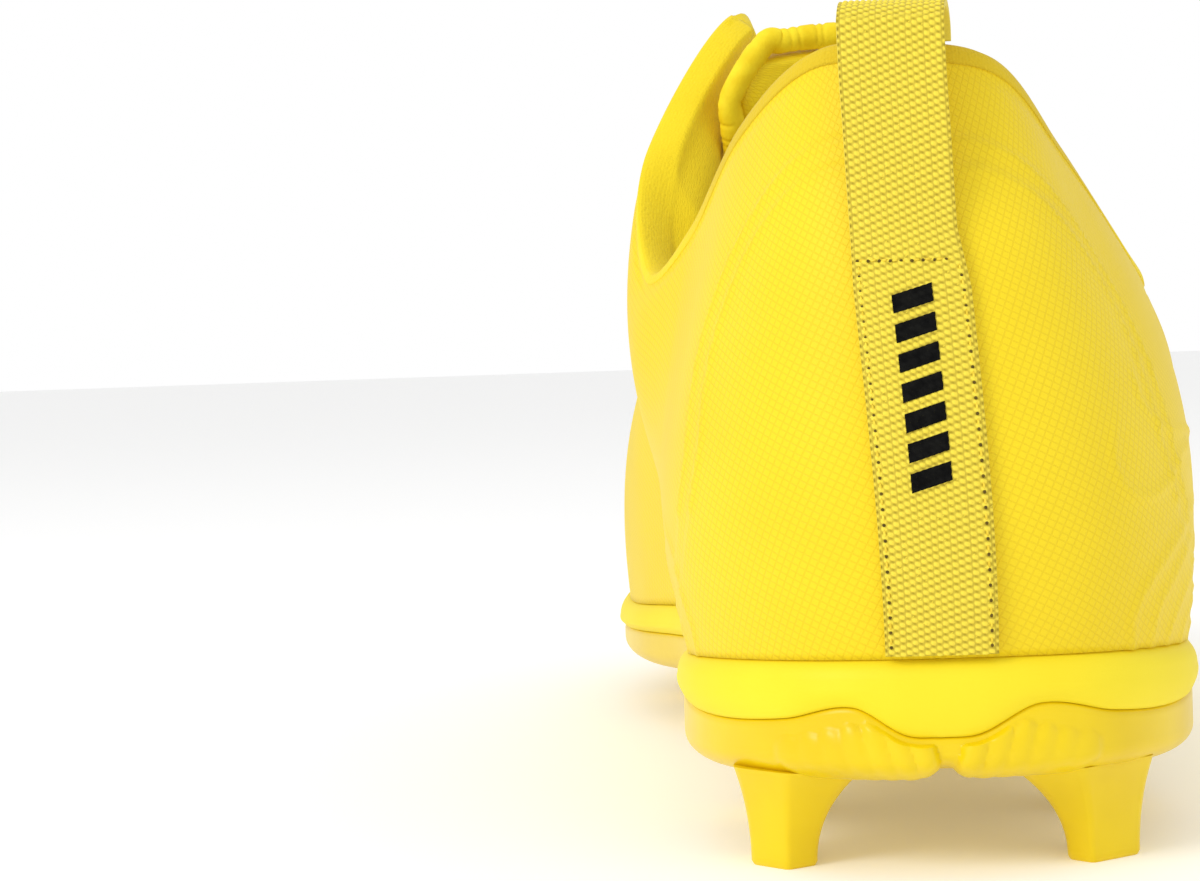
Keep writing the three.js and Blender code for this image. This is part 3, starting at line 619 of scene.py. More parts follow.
# Pressed ribs, each as [section, v] points: a fan low on the outer quarter and two swooping hems.
RIBS = [
    ([(2.9, 0.33), (2.38, 0.258), (1.92, 0.19), (1.66, 0.143),
      (1.45, 0.098), (1.33, 0.05), (1.36, 0)], 0.9, 0.45),
    ([(2.7, 0.27), (2.2, 0.19), (1.85, 0.12), (1.62, 0.06), (1.58, 0)], 0.8, 0.35),
    ([(2.9, 0.25), (2.45, 0.17), (2.1, 0.1), (1.88, 0.04), (1.82, 0)], 0.8, 0.35),
    ([(3.1, 0.23), (2.7, 0.14), (2.38, 0.08), (2.15, 0.03), (2.08, 0)], 0.8, 0.35),
    ([(3.4, 0.22), (3.0, 0.12), (2.7, 0.06), (2.45, 0.02), (2.38, 0)], 0.8, 0.35),
    ([(1.35, 0.40), (1.2, 0.33), (1.22, 0.273), (1.41, 0.247),
      (1.73, 0.273), (2.14, 0.345), (2.6, 0.42)], 0.8, 0.4),
    ([(1.62, 0.5), (1.6, 0.45), (1.67, 0.41), (1.92, 0.393),
      (2.3, 0.42), (2.8, 0.48), (3.4, 0.5)], 0.8, 0.4),
    ([(-3.0, 0.30), (-2.6, 0.22), (-2.3, 0.13), (-2.15, 0.05), (-2.15, 0)], 0.9, 0.35),
    ([(-3.3, 0.26), (-2.9, 0.17), (-2.6, 0.09), (-2.45, 0.03), (-2.42, 0)], 0.8, 0.3),
    ([(-3.7, 0.24), (-3.3, 0.15), (-3.0, 0.07), (-2.8, 0.02), (-2.78, 0)], 0.8, 0.3),
]


def ribbed(net, ribs):
    """How far the pressed ribs lift each point of the net."""
    lift = np.zeros(net.shape[:2])
    flat = net.reshape(-1, 3)
    for points, wide, height in ribs:
        t = np.linspace(0, len(points) - 1, 60)
        k, v = curve(points, t).T
        line = last(k / COUNT, v)
        near = np.full(len(flat), 1e9)
        fade = np.ones(len(flat))
        for p, share in zip(line, t / t[-1]):
            far = ((flat - p) ** 2).sum(1)
            closer = far < near
            near[closer] = far[closer]
            fade[closer] = min(1, share * 6)
        lift = np.maximum(lift, (height * fade * np.exp(-near / wide**2)).reshape(lift.shape))
    return lift


heel_columns = np.linspace(-6.2, 6.2, 300) / COUNT
front_columns = np.linspace(6.2, COUNT - 6.2, 150) / COUNT
columns = np.concatenate([heel_columns, front_columns[1:]])
rows = np.linspace(0, 1, 96)
across, up = np.meshgrid(columns, rows, indexing="ij")
bare = last(across, up)
round_k = (across * COUNT + COUNT / 2) % COUNT - COUNT / 2
lift = ribbed(bare, RIBS)
for size, height in ((1.0, 0.52), (0.88, 0.5)):
    share = arch_share(round_k, up, size)
    step = 0.055
    lift = lift + height * ease(share, -step, step) * 0.6
    lift = lift + height * 0.9 * np.exp(-((share / (step * 0.8)) ** 2)) * (up > 0.25)
seam_dip = -0.25 * np.exp(-(((up - 0.975) / 0.012) ** 2)) * (np.abs(round_k) < 6)
shell_net = skin(across, up, lift + seam_dip)
shell_net[:, 0, 2] -= GAP - SEAT
shell = bend("upper_cloth", shell_net, ripstop, cloth_map(bare))
thicken(shell, SHELL_THICK * MM)
fit(shell, "shoe", "ripstop", "upper_shell", "heel_overlay")

# ---- Toe overlay, eyestays and eyelet rings ----------------------------------------------------
# Thermoplastic film welded to the cloth: a guard round the toe and a stay down each side of the
# throat. Pressed rings stiffen the holes for the lace.
film = plain("welded_film", (0.9, 0.68, 0.01), 0.38, Specular_IOR_Level=0.35)
blotch(film, (0.91, 0.69, 0.01), (0.86, 0.64, 0.008), 40)
grain(film, 1500, 0.00005, strength=0.3)
OVERLAY_THICK = 0.9
EYELET_V = 0.925
RING_RADIUS = 2.5
RING_WIRE = 0.55


def patch(name, ks, reach, base, thick, material, body_slot, nodes, rows=30, columns=120):
    """A film laid on the cloth between two sections, its edge rounded down on every side. It is
    closed at its first end and left open at its last."""
    k, t = np.meshgrid(np.linspace(*ks, columns), np.linspace(0, 1, rows), indexing="ij")
    low, high = reach(k)
    v = low + (high - low) * t
    edge = np.minimum(np.minimum(t, 1 - t) * rows, np.minimum(k - ks[0], ks[1] - k) * 14)
    height = base + thick * np.sqrt(np.clip(edge / 1.6, 0, 1) * (2 - np.clip(edge / 1.6, 0, 1)))
    outer = skin(k / COUNT, v, height)
    inner = skin(k / COUNT, v, base - 0.1)[:, ::-1]
    loop = np.concatenate([outer, inner, outer[:, :1]], 1)
    end = (loop[:1] + loop[:1, ::-1]) / 2
    piece = bend(name, np.concatenate([end, loop]), material, closed=True)
    return fit(piece, "shoe", body_slot, *nodes)


def toe_reach(k):
    return 0.01 + 0 * k, 0.3 + 0.08 * np.cos((k - 11) * 0.9)


def stay_reach(k):
    return 0.84 + 0 * k, 0.998 + 0 * k


patch("toe_guard", (8.6, 13.4), toe_reach, 0.2, OVERLAY_THICK, film, "film", ["toe_overlay"])
EYELETS = {"lateral": np.linspace(9.75, 6.75, 6), "medial": np.linspace(12.25, 15.25, 6)}
for side, ks in (("lateral", (6.1, 10.3)), ("medial", (11.7, 15.7))):
    patch(
        f"eyestay_{side}_film", ks, stay_reach, 0.2, OVERLAY_THICK + GAP, film, "film",
        ["eyestay_" + side], rows=22, columns=160,
    )
    rings = bmesh.new()
    for k in EYELETS[side]:
        centre = skin(k / COUNT, EYELET_V, OVERLAY_THICK + 2 * GAP)
        axis = skin(k / COUNT, EYELET_V, 1.0) - skin(k / COUNT, EYELET_V, 0.0)
        ring = bmesh.new()
        wire = bmesh.ops.create_circle(ring, segments=8, radius=RING_WIRE)["verts"]
        upright = Matrix.Rotation(math.pi / 2, 3, "X")
        bmesh.ops.rotate(ring, verts=wire, cent=(0, 0, 0), matrix=upright)
        bmesh.ops.translate(ring, verts=wire, vec=(RING_RADIUS, 0, 0))
        bmesh.ops.spin(
            ring, geom=ring.verts[:] + ring.edges[:], cent=(0, 0, 0), axis=(0, 0, 1),
            angle=2 * math.pi, steps=20, use_merge=True, use_duplicate=False,
        )
        bmesh.ops.remove_doubles(ring, verts=ring.verts, dist=1e-4)
        bmesh.ops.recalc_face_normals(ring, faces=ring.faces)
        turn = Vector(axis).to_track_quat("Z", "Y").to_matrix().to_4x4()
        ring.transform(Matrix.Scale(MM, 4) @ Matrix.Translation(Vector(centre + STAND)) @ turn)
        pour(ring, rings)
    ring_piece = as_piece(f"eyelet_rings_{side}", rings, nylon)
    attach(ring_piece, "shoe")

# The hidden stiffeners under the cloth: heel counter, toe puff and the eyelet backers.
stiff = plain("stiffener_sheet", (0.74, 0.7, 0.58), 0.75)
blotch(stiff, (0.76, 0.72, 0.6), (0.68, 0.63, 0.5), 150)
grain(stiff, 1200, 0.0002)
for name in ("heel_counter", "toe_puff", "eyelet_backer_lateral", "eyelet_backer_medial"):
    dress(name, stiff)

# ---- Collar ------------------------------------------------------------------------------------
# Soft foam wrapped in lining cloth and turned over the upper's top edge. Round the heel the roll
# is a fine knit, which runs out into smooth cloth towards the throat.
COLLAR_PAD = 5
COLLAR_FRONT = 5.9
PAD_LOW = 0.56
FLAP_DEEP = 4.2


def collar_face(k, v):
    """How deep the lining lies inside the cloth, with the pad behind it."""
    forward = 1 - 0.8 * ease(np.abs(k), 3.5, COLLAR_FRONT)
    flap = FLAP_DEEP * ease(-k, 2.6, 4.4) * (1 - ease(-k, 5.2, 5.9))
    flap = flap * ease(v, 0.5, 0.72) * (1 - ease(v, 0.86, 0.99))
    swell = ease(v, PAD_LOW - 0.02, 0.8) * (1 - 0.45 * ease(v, 0.9, 1))
    crease = 0.5 * np.exp(-(((v - 0.62) / 0.03) ** 2))
    return -(SHELL_THICK + GAP + STIFFENER_THICK + COLLAR_PAD * swell * forward + GAP) + crease - flap


knit = plain("lining_knit", (0.72, 0.5, 0.04), 0.85, Specular_IOR_Level=0.2, Sheen_Weight=0.1)
knit_place = node(knit, "UVMap", uv_map="weave").outputs["UV"]
knit_parts = node(knit, "SeparateXYZ", {"Vector": knit_place}).outputs
knit_cells = node(knit, "TexVoronoi", {"Vector": knit_place, "Scale": 1.9, "Randomness": 0.55}).outputs
knit_tone = blotch(knit, (0.92, 0.71, 0.02), (0.88, 0.66, 0.014), 60)
knit_mix = node(
    knit, "Mix", {"A": knit_tone, "B": (0.66, 0.46, 0.02, 1)}, data_type="RGBA"
)
# The knit shows round the heel only: its share falls off with the distance from the back seam.
knit_far = maths(knit, "ABSOLUTE", knit_parts["X"])
knit_share = node(
    knit, "MapRange",
    {"Value": knit_far, "From Min": 40.0, "From Max": 62.0, "To Min": 0.75, "To Max": 0.0},
).outputs["Result"]
knit.node_tree.links.new(knit_share, knit_mix.inputs["Factor"])
feed(knit, knit_mix.outputs["Result"])
grain(knit, 1, 0.00018, height=knit_cells["Distance"], strength=0.6)

collar_k = np.linspace(-COLLAR_FRONT, COLLAR_FRONT, 330)
ROLL = [(0.985, 0.15), (0.992, 0.35), (1.004, 0.55), (1.018, 0.6), (1.032, 0.3), (1.043, -0.6)]
ROLL += [(1.049, -1.9), (1.05, -3.2), (1.046, -4.6), (1.034, -5.7), (1.018, -6.4)]
face_v = np.linspace(0.985, 0.04, 60)
slim = 0.72 - 0.62 * ease(np.abs(collar_k), 3.6, COLLAR_FRONT)[:, None]
roll_v = np.array([v for v, _ in ROLL])[None]
roll_off = np.array([off for _, off in ROLL])[None]
inside = collar_face(collar_k[:, None], face_v[None]) - LINING_THICK
deepest = inside[:, :1]
flush = 1 - 0.75 * ease(np.abs(collar_k), 0.9, 2.4)[:, None]
roll_off = np.where(roll_off < 0, roll_off * (-deepest / 6.9), roll_off * slim * flush)
collar_v = np.concatenate(
    [1 + (roll_v - 1) * slim, np.broadcast_to(face_v, inside.shape)], 1
)
collar_off = np.concatenate([roll_off, inside], 1)
pucker = 0.12 * np.sin(collar_k * 9.0)[:, None] * np.exp(-(((collar_v - 0.93) / 0.05) ** 2))
collar_net = skin(collar_k[:, None] / COUNT, collar_v, collar_off + pucker)
collar_map = cloth_map(collar_net)
collar_map = collar_map - np.array([collar_map[len(collar_k) // 2, 0, 0], 0])
collar = bend("collar_pad", collar_net, knit, collar_map)
thicken(collar, 0.0006)
fit(collar, "shoe", "knit", "collar_lining", "collar_foam")

# The vamp lining: the same cloth, without a pad, on from the collar round the toe.
vamp_k, vamp_v = np.meshgrid(
    np.linspace(COLLAR_FRONT - 0.1, COUNT - COLLAR_FRONT + 0.1, 200),
    np.linspace(0.02, 1, 50), indexing="ij",
)
vamp_depth = -(SHELL_THICK + STIFFENER_THICK + 2 * GAP) - 0.2
vamp_off = vamp_depth + 0 * vamp_k - vamp_depth * 0.9 * ease(vamp_v, 0.975, 1.0)
vamp_net = skin(vamp_k / COUNT, vamp_v, vamp_off)
vamp_map = cloth_map(vamp_net) + np.array([70.0, 0])
vamp = bend("vamp_cloth", vamp_net[:, ::-1], knit, vamp_map[:, ::-1])
thicken(vamp, 0.001, 1)
fit(vamp, "shoe", "knit", "vamp_lining")

# ---- Tongue ------------------------------------------------------------------------------------
# Foam between two cloths, bound round its edge with a soft puckered strip. It is sewn down under
# the front of the throat, and leans to the inner ankle above the collar.
TONGUE_LINE = [
    [-3, 206, 49.5], [-3, 197, 53.5], [-3, 187, 57.5],
    [-3, 176, 61], [-3.5, 150, 77], [-4.5, 128, 91],
    [-7, 106, 107], [-9, 97, 116], [-11, 92, 124],
]
TONGUE_ARCH = 30
TONGUE_HALF_WIDTH = 24
TONGUE_TAPER = [(0, 0.5), (0.3, 0.58), (0.5, 0.76), (0.78, 0.94), (0.92, 0.88), (1, 0.64)]
TONGUE_DEEP = 6.0


def tongue_point(t, s, depth, grow=0.0):
    """t up the tongue, s across it from -1 to 1, and a depth under its outer face."""
    t, s, depth = np.broadcast_arrays(np.asarray(t, float), s, depth)

    def spot(share):
        return curve(TONGUE_LINE, share * (len(TONGUE_LINE) - 1))

    way = spot(np.minimum(t + 0.01, 1)) - spot(np.maximum(np.minimum(t + 0.01, 1) - 0.02, 0))
    normal = np.stack([0 * t, way[..., 2], -way[..., 1]], -1)
    normal /= np.linalg.norm(normal, axis=-1, keepdims=True)
    half = TONGUE_HALF_WIDTH * along(TONGUE_TAPER, t) + grow
    angle = s * half / TONGUE_ARCH
    radius = TONGUE_ARCH - depth
    point = spot(t) + normal * (radius * np.cos(angle) - TONGUE_ARCH)[..., None]
    point[..., 0] += radius * np.sin(angle)
    beyond = np.maximum(0, t - 1)[..., None]
    return point + beyond * way * 50


tongue_t = np.linspace(0, 0.985, 90)[:, None]
tongue_s = np.linspace(-1, 1, 34)[None]
swell = np.sqrt(np.maximum(0, 1 - np.abs(tongue_s) ** 5))
quilt = 0.35 * np.exp(-(((tongue_s) / 0.05) ** 2)) * (tongue_t < 0.8)
face_depth = 2.2 * (1 - swell) + quilt
back_depth = TONGUE_DEEP - 2.2 * (1 - swell) - 0.5 * ease(tongue_t, 0.9, 1)
tongue_face = tongue_point(tongue_t, tongue_s, face_depth)
tongue_back = tongue_point(tongue_t, tongue_s, back_depth)
tongue_net = np.concatenate([tongue_face, tongue_back[:, ::-1], tongue_face[:, :1]], 1)
tongue_ends = [(tongue_net[i] + tongue_net[i][::-1]) / 2 for i in (0, -1)]
tongue_net = np.concatenate([tongue_ends[0][None], tongue_net, tongue_ends[1][None]])
tongue_map = cloth_map(tongue_net) + np.array([70.0, 0])
tongue = bend("tongue_pad", tongue_net, ripstop, tongue_map, closed=True)
fit(tongue, "tongue", "ripstop", "tongue_shell", "tongue_foam", "tongue_lining")


def tube(path, radius, around):
    """Rings round a path of points; radius may differ from ring to ring and round the ring."""
    way = np.gradient(path, axis=0)
    way /= np.linalg.norm(way, axis=1, keepdims=True)
    normal = np.zeros_like(path)
    ahead = np.array([0.3, 0.2, 1.0])
    for i, w in enumerate(way):
        ahead = ahead - w * (ahead @ w)
        ahead /= np.linalg.norm(ahead)
        normal[i] = ahead
    side = np.cross(way, normal)
    turn = np.linspace(0, 2 * math.pi, around + 1)
    reach = np.broadcast_to(np.asarray(radius, float), (len(path), around + 1))[..., None]
    ring = normal[:, None] * np.cos(turn)[None, :, None] + side[:, None] * np.sin(turn)[None, :, None]
    body = path[:, None] + ring * reach
    cap = [np.repeat(path[i][None, None], around + 1, 1) for i in (0, -1)]
    return np.concatenate([cap[0], body, cap[1]])


def smooth_path(points, each):
    """A smooth line through points, so many steps between each."""
    return curve(points, np.linspace(0, len(points) - 1, (len(points) - 1) * each + 1))


binding = plain("binding_strip", (0.93, 0.72, 0.015), 0.7, Specular_IOR_Level=0.25)
blotch(binding, (0.95, 0.75, 0.02), (0.87, 0.63, 0.008), 260)
grain(binding, 1700, 0.00015)
BEAD = 2.15
bead_line = [tongue_point(t, -1, TONGUE_DEEP / 2, BEAD * 0.8) for t in np.linspace(0.35, 0.93, 14)]
bead_line += [tongue_point(1.02, s, TONGUE_DEEP / 2) for s in np.linspace(-0.86, 0.86, 9)]
bead_line += [tongue_point(t, 1, TONGUE_DEEP / 2, BEAD * 0.8) for t in np.linspace(0.93, 0.35, 14)]
bead_path = smooth_path(bead_line, 14)
bead_run = run_along(bead_path)
round_turn = np.linspace(0, 2 * math.pi, 25)[None]
gathers = np.cumsum(2.1 + 1.1 * np.sin(np.arange(90) * 2.4))
near_gather = np.abs(bead_run[:, None] - gathers[None]).min(1)[:, None]
swing = np.sin(bead_run / 4.3)[:, None]
bead_radius = BEAD * (
    1 + 0.03 * np.sin(bead_run / 2.3)[:, None] + 0.12 * np.cos(round_turn * 2)
    - 0.14 * np.exp(-((near_gather / 0.32) ** 2)) * (0.5 + 0.5 * np.sin(round_turn + 2 * swing))
)
bead = bend("tongue_bead", tube(bead_path, bead_radius, 24), binding, closed=True)
fit(bead, "tongue", "knit", "tongue_binding")

# ---- Lace --------------------------------------------------------------------------------------
# A round braided lace in criss-cross: a bar over the bottom pair, then under, up through and over
# at every pair. Its ends turn back along the stays and finish in moulded tips.
braid = plain("lace_braid", (0.9, 0.66, 0.03), 0.75, Sheen_Weight=0.25, Sheen_Roughness=0.4)
blotch(braid, (0.92, 0.68, 0.03), (0.84, 0.58, 0.02), 500)
braid_place = node(braid, "UVMap", uv_map="weave").outputs["UV"]
braid_waves = [
    node(
        braid, "TexWave", {"Vector": turned.outputs["Vector"], "Scale": 0.55, "Distortion": 0.0},
    ).outputs["Fac"]
    for turned in (
        node(braid, "Mapping", {"Vector": braid_place, "Rotation": (0, 0, angle)})
        for angle in (0.7, -0.7)
    )
]
grain(braid, 1, 0.0002, height=maths(braid, "MAXIMUM", *braid_waves), strength=0.7)
LACE_RADIUS = 1.1
ABOVE = GAP + OVERLAY_THICK + LACE_RADIUS + 0.7
BELOW = -(SHELL_THICK + STIFFENER_THICK + LINING_THICK + 2 * GAP) - LACE_RADIUS - 1


def lace_half(own, other, crossing):
    def on(k, distance):
        foot = skin(k / COUNT, EYELET_V, 0.0)
        axis = skin(k / COUNT, EYELET_V, 1.0) - foot
        return foot + axis * distance

    def under(k):
        return [
            skin(k / COUNT, 1.0, BELOW - 0.4), skin(k / COUNT, 0.965, BELOW), on(k, BELOW),
        ]

    points = [on(own[0], 0), *under(own[0])[::-1]]
    for i in range(1, 6):
        here = own[i] if i % 2 == 0 else other[i]
        middle = (points[-1] + skin(here / COUNT, 0.995, BELOW)) / 2 + np.array([0, 0, crossing])
        points += [middle, *under(here), on(here, 0), on(here, ABOVE)]
        if i < 5:
            points.append(skin(here / COUNT, 1.0, ABOVE))
    toeward = 1 if other[5] < COUNT / 2 else -1
    for forward, v in ((0.12, 0.9), (0.35, 0.875), (0.7, 0.865)):
        points.append(skin((other[5] + toeward * forward) / COUNT, v, ABOVE + 0.9))
    return points


lace_halves = [
    lace_half(EYELETS["lateral"], EYELETS["medial"], 2.0),
    lace_half(EYELETS["medial"], EYELETS["lateral"], -0.6),
]
bar_over = [
    skin(EYELETS[side][0] / COUNT, EYELET_V, ABOVE) for side in ("lateral", "medial")
]
lace_points = lace_halves[0][::-1] + [bar_over[0], (bar_over[0] + bar_over[1]) / 2, bar_over[1]]
lace_points += lace_halves[1]
lace_path = smooth_path(lace_points, 8)
lace_net = tube(lace_path, LACE_RADIUS, 12)
lace_run = run_along(lace_path)
lace_run = np.concatenate([[0], lace_run, lace_run[-1:]])
lace_round = np.linspace(0, 2 * math.pi * LACE_RADIUS, lace_net.shape[1])
lace_map = np.stack(np.meshgrid(lace_run, lace_round, indexing="ij"), -1)
lace = bend("braided_lace", lace_net, braid, lace_map, closed=True)
fit(lace, "shoe", "lace", "lace")
AGLET_STEPS = np.concatenate([[0.3, 0.35, 0.6], np.linspace(1.5, 15, 8), [15.5, 15.9, 16.0]])
AGLET_RADII = np.array([0.7, 1.15, 1.3] + [1.3] * 8 + [1.25, 0.95, 0.5])[:, None]
for number, half in enumerate(lace_halves, 1):
    way = half[-1] - half[-2]
    way /= np.linalg.norm(way)
    tip = np.array([half[-1] + way * s for s in AGLET_STEPS])
    aglet = bend(f"lace_tip_{number}", tube(tip, AGLET_RADII, 20), nylon, closed=True)
    fit(aglet, "shoe", "stud_plastic", f"aglet_{number}")

# ---- Heel strap and pull loop ------------------------------------------------------------------
# One narrow webbing of coarse basket weave. It is sewn flat up the back seam to a cross stitch,
# stands free above it, folds over the collar and is caught inside.
WEB_WIDTH = 14.5
WEB_THICK = 1.3
WEB_OFF = GAP + 0.5 + GAP - 0.15
STITCH_V = 0.64
LOOP_RISE = 7.5
LOOP_GAP = 10
LOOP_SEAT = 3.6
LEG_OUT = -0.6
LOOP_SKEW = 1.6
LOOP_CAUGHT = 1.5
yarn = plain("webbing_yarn", (0.88, 0.68, 0.05), 0.62, Specular_IOR_Level=0.3, Sheen_Weight=0.1)
yarn_fibre = node(
    yarn, "TexNoise",
    {"Vector": node(yarn, "UVMap", uv_map="weave").outputs["UV"], "Scale": 9.0, "Detail": 2.0},
)
grain(yarn, 1, 0.00008, height=yarn_fibre.outputs["Fac"], strength=0.5)
# The yarn's colour follows the weave's height, deep brown in the gaps and full yellow on the crests:
# painted shade in the gaps.
yarn_depth = node(yarn, "Attribute", attribute_name="weave_height", attribute_type="GEOMETRY")
yarn_gap_shade = node(yarn, "ValToRGB", {"Fac": yarn_depth.outputs["Fac"]})
for element, place, tone in zip(
    yarn_gap_shade.color_ramp.elements, (0.12, 0.62), ((0.3, 0.2, 0.004, 1), (0.92, 0.74, 0.06, 1))
):
    element.position = place
    element.color = tone
feed(yarn, yarn_gap_shade.outputs["Color"])

sewn_top = skin(0.0, STITCH_V, WEB_OFF + WEB_THICK / 2)
collar_top = last(0.0, 1.0)


def rise(dy, z):
    share = min(1.0, (collar_top[2] + z - sewn_top[2]) / (collar_top[2] - sewn_top[2]))
    x = sewn_top[0] + (collar_top[0] - sewn_top[0]) * share
    return np.array([x, sewn_top[1] + dy, collar_top[2] + z])


apart = (LOOP_GAP + WEB_THICK) / 2
crown = LOOP_RISE - WEB_THICK / 2 - LOOP_SEAT
loop_turn = []
for degrees in np.linspace(0, 180, 11):
    a = math.radians(degrees)
    spot = rise(LEG_OUT + apart - apart * math.cos(a), LOOP_SEAT + crown * math.sin(a))
    spot[0] += LOOP_SKEW * (1 - math.cos(a)) / 2
    loop_turn.append(spot)
loop_turn.append(loop_turn[-1] - np.array([0, 0, LOOP_CAUGHT]))
free_line = [sewn_top, rise(0.4, -20), rise(LEG_OUT, -10), rise(LEG_OUT, -3.4), *loop_turn]
free_path = smooth_path(free_line, 30)
free_run = run_along(free_path)
WEB_STEP = 0.132
free_at = np.arange(0, free_run[-1], WEB_STEP)
free_path = np.stack([np.interp(free_at, free_run, free_path[:, i]) for i in range(3)], 1)

probe_v = np.linspace(0.008, STITCH_V - 0.02, 400)
probe = skin(0.0, probe_v, WEB_OFF + WEB_THICK / 2)
probe_run = run_along(probe)
sewn_at = np.arange(0, probe_run[-1], WEB_STEP)
sewn_v = np.interp(sewn_at, probe_run, probe_v)

FACE_POINTS = 84
FLAT = 0.985
CUP_FADE = 22
JOIN_STEPS = 26
WEAVE_RELIEF = 0.42
KEYS_PER_MM = 2000
# Across the webbing: an even row on its face, rounded selvages and a plain back.
face_s = np.linspace(-1, 1, FACE_POINTS)
selvage = np.linspace(0, math.pi, 6)[1:-1]
web_s = np.concatenate([face_s * FLAT, FLAT + 0.015 * np.sin(selvage), [0.97, 0, -0.97]])
web_s = np.concatenate([web_s, -FLAT - 0.015 * np.sin(selvage), [-FLAT]])
web_lift = np.concatenate([0 * face_s + 1, (1 + np.cos(selvage)) / 2, [0, 0, 0]])
web_lift = np.concatenate([web_lift, (1 - np.cos(selvage)) / 2, [1]])
is_face = np.concatenate([face_s * 0 + 1, np.zeros(len(web_s) - len(face_s) - 1), [1]])
span_u = 1e-4
aside = skin(span_u, sewn_v, WEB_OFF) - skin(0.0, sewn_v, WEB_OFF)
foot_pace = np.linalg.norm(aside, axis=-1) / span_u
web_u = web_s[None] * WEB_WIDTH / 2 / foot_pace[:, None]
sewn_inner = skin(web_u, sewn_v[:, None] + 0 * web_u, WEB_OFF)
sewn_outer = skin(web_u, sewn_v[:, None] + 0 * web_u, WEB_OFF + WEB_THICK)

free_way = np.gradient(free_path, axis=0)
free_normal = np.stack([0 * free_way[:, 0], -free_way[:, 2], free_way[:, 1]], -1)
free_normal /= np.linalg.norm(free_normal, axis=1, keepdims=True)
sewn_edge = skin(web_u[-1, FACE_POINTS - 1], sewn_v[-1], WEB_OFF)
cup = float(sewn_edge[1] - skin(0.0, sewn_v[-1], WEB_OFF)[1])
relax = 1 - ease(free_at, 0, CUP_FADE)[:, None]
middle = free_path[:, None] - free_normal[:, None] * (cup * relax * web_s[None] ** 2)[..., None]
middle[..., 0] += web_s[None] * WEB_WIDTH / 2
free_outer = middle + free_normal[:, None] * WEB_THICK / 2
free_inner = middle - free_normal[:, None] * WEB_THICK / 2
# The sewn run is carried smoothly into the free one over a short stretch.
web_outer = np.concatenate([sewn_outer, free_outer])
web_inner = np.concatenate([sewn_inner, free_inner])
joint_at = len(sewn_v)
for layer in (web_outer, web_inner):
    low, high = joint_at - JOIN_STEPS, joint_at + JOIN_STEPS
    first, final = layer[low].copy(), layer[high].copy()
    share = np.linspace(0, 1, high - low + 1)[:, None, None]
    layer[low : high + 1] = first + (final - first) * share
web_run = run_along(web_outer[:, FACE_POINTS // 2])
CELL_WIDE = 0.8
CELL_LONG = 1.06
CELL_LEAN = 0.2
side_share = (web_s * WEB_WIDTH / 2 / CELL_WIDE)[None]
run_share = (web_run / CELL_LONG)[:, None] + CELL_LEAN * side_share
knuckle = np.cos(2 * math.pi * run_share) * np.cos(math.pi * side_share)
ribs_long = np.abs(np.cos(math.pi * side_share))
height = 0.5 + 0.5 * knuckle * np.where(knuckle > 0, 1.0, 0.75)
height = height**0.8 * (0.55 + 0.45 * ribs_long**0.5)
edge_share = ease(np.abs(web_s[None]), 0.93, 0.985)
height = height * (1 - 0.4 * edge_share)
relief = WEAVE_RELIEF * (height - 0.75) * is_face[None]
thick = (web_outer - web_inner) / np.linalg.norm(web_outer - web_inner, axis=-1, keepdims=True)
web_net = web_inner + (web_outer - web_inner) * web_lift[None, :, None] + thick * relief[..., None]
root, tip = [row.mean(1, keepdims=True) + 0 * row for row in (web_net[:1], web_net[-1:])]
web_full = np.concatenate([root, web_net[:1] * 0.5 + root * 0.5, web_net, tip])
web_map = np.stack(
    np.broadcast_arrays(
        np.concatenate([[0, 0], web_run, web_run[-1:]])[:, None], (web_s * WEB_WIDTH / 2)[None]
    ), -1
)
web = bend("heel_webbing", web_full, yarn, web_map, closed=True)
full_height = np.concatenate([height[:1], height[:1], height, height[-1:]])
full_height = full_height * is_face + 0.5 * (1 - is_face)
# Each point's weave height is kept as an attribute, from which the yarn paints shade into the gaps.
known = {}
web_keys = np.rint((web_full + STAND) * KEYS_PER_MM).astype(np.int64).reshape(-1, 3)
for key, value in zip(map(tuple, web_keys), full_height.ravel()):
    known.setdefault(key, value)
web_co = np.empty(len(web.data.vertices) * 3)
web.data.vertices.foreach_get("co", web_co)
web_co = np.rint(web_co.reshape(-1, 3) / MM * KEYS_PER_MM).astype(np.int64)
web_tint = [known.get(tuple(key), 0.6) for key in web_co]
web.data.attributes.new("weave_height", "FLOAT", "POINT").data.foreach_set("value", web_tint)
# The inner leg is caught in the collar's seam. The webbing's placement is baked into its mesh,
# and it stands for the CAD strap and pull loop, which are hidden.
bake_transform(web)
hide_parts("heel_strap", "pull_loop")


def on_web(run, s, lift):
    """A point on the webbing's face, so far along it and across it."""
    at = np.interp(run, web_run, np.arange(len(web_run)))
    col = np.interp(s, face_s * FLAT, np.arange(len(face_s)))
    i = np.clip(at.astype(int), 0, len(web_run) - 2)
    j = np.clip(col.astype(int), 0, len(face_s) - 2)
    di, dj = (at - i)[..., None], (col - j)[..., None]
    out = thick[i, j]
    base = (
        web_net[i, j] * (1 - di) * (1 - dj) + web_net[i + 1, j] * di * (1 - dj)
        + web_net[i, j + 1] * (1 - di) * dj + web_net[i + 1, j + 1] * di * dj
    )
    return base + out * lift
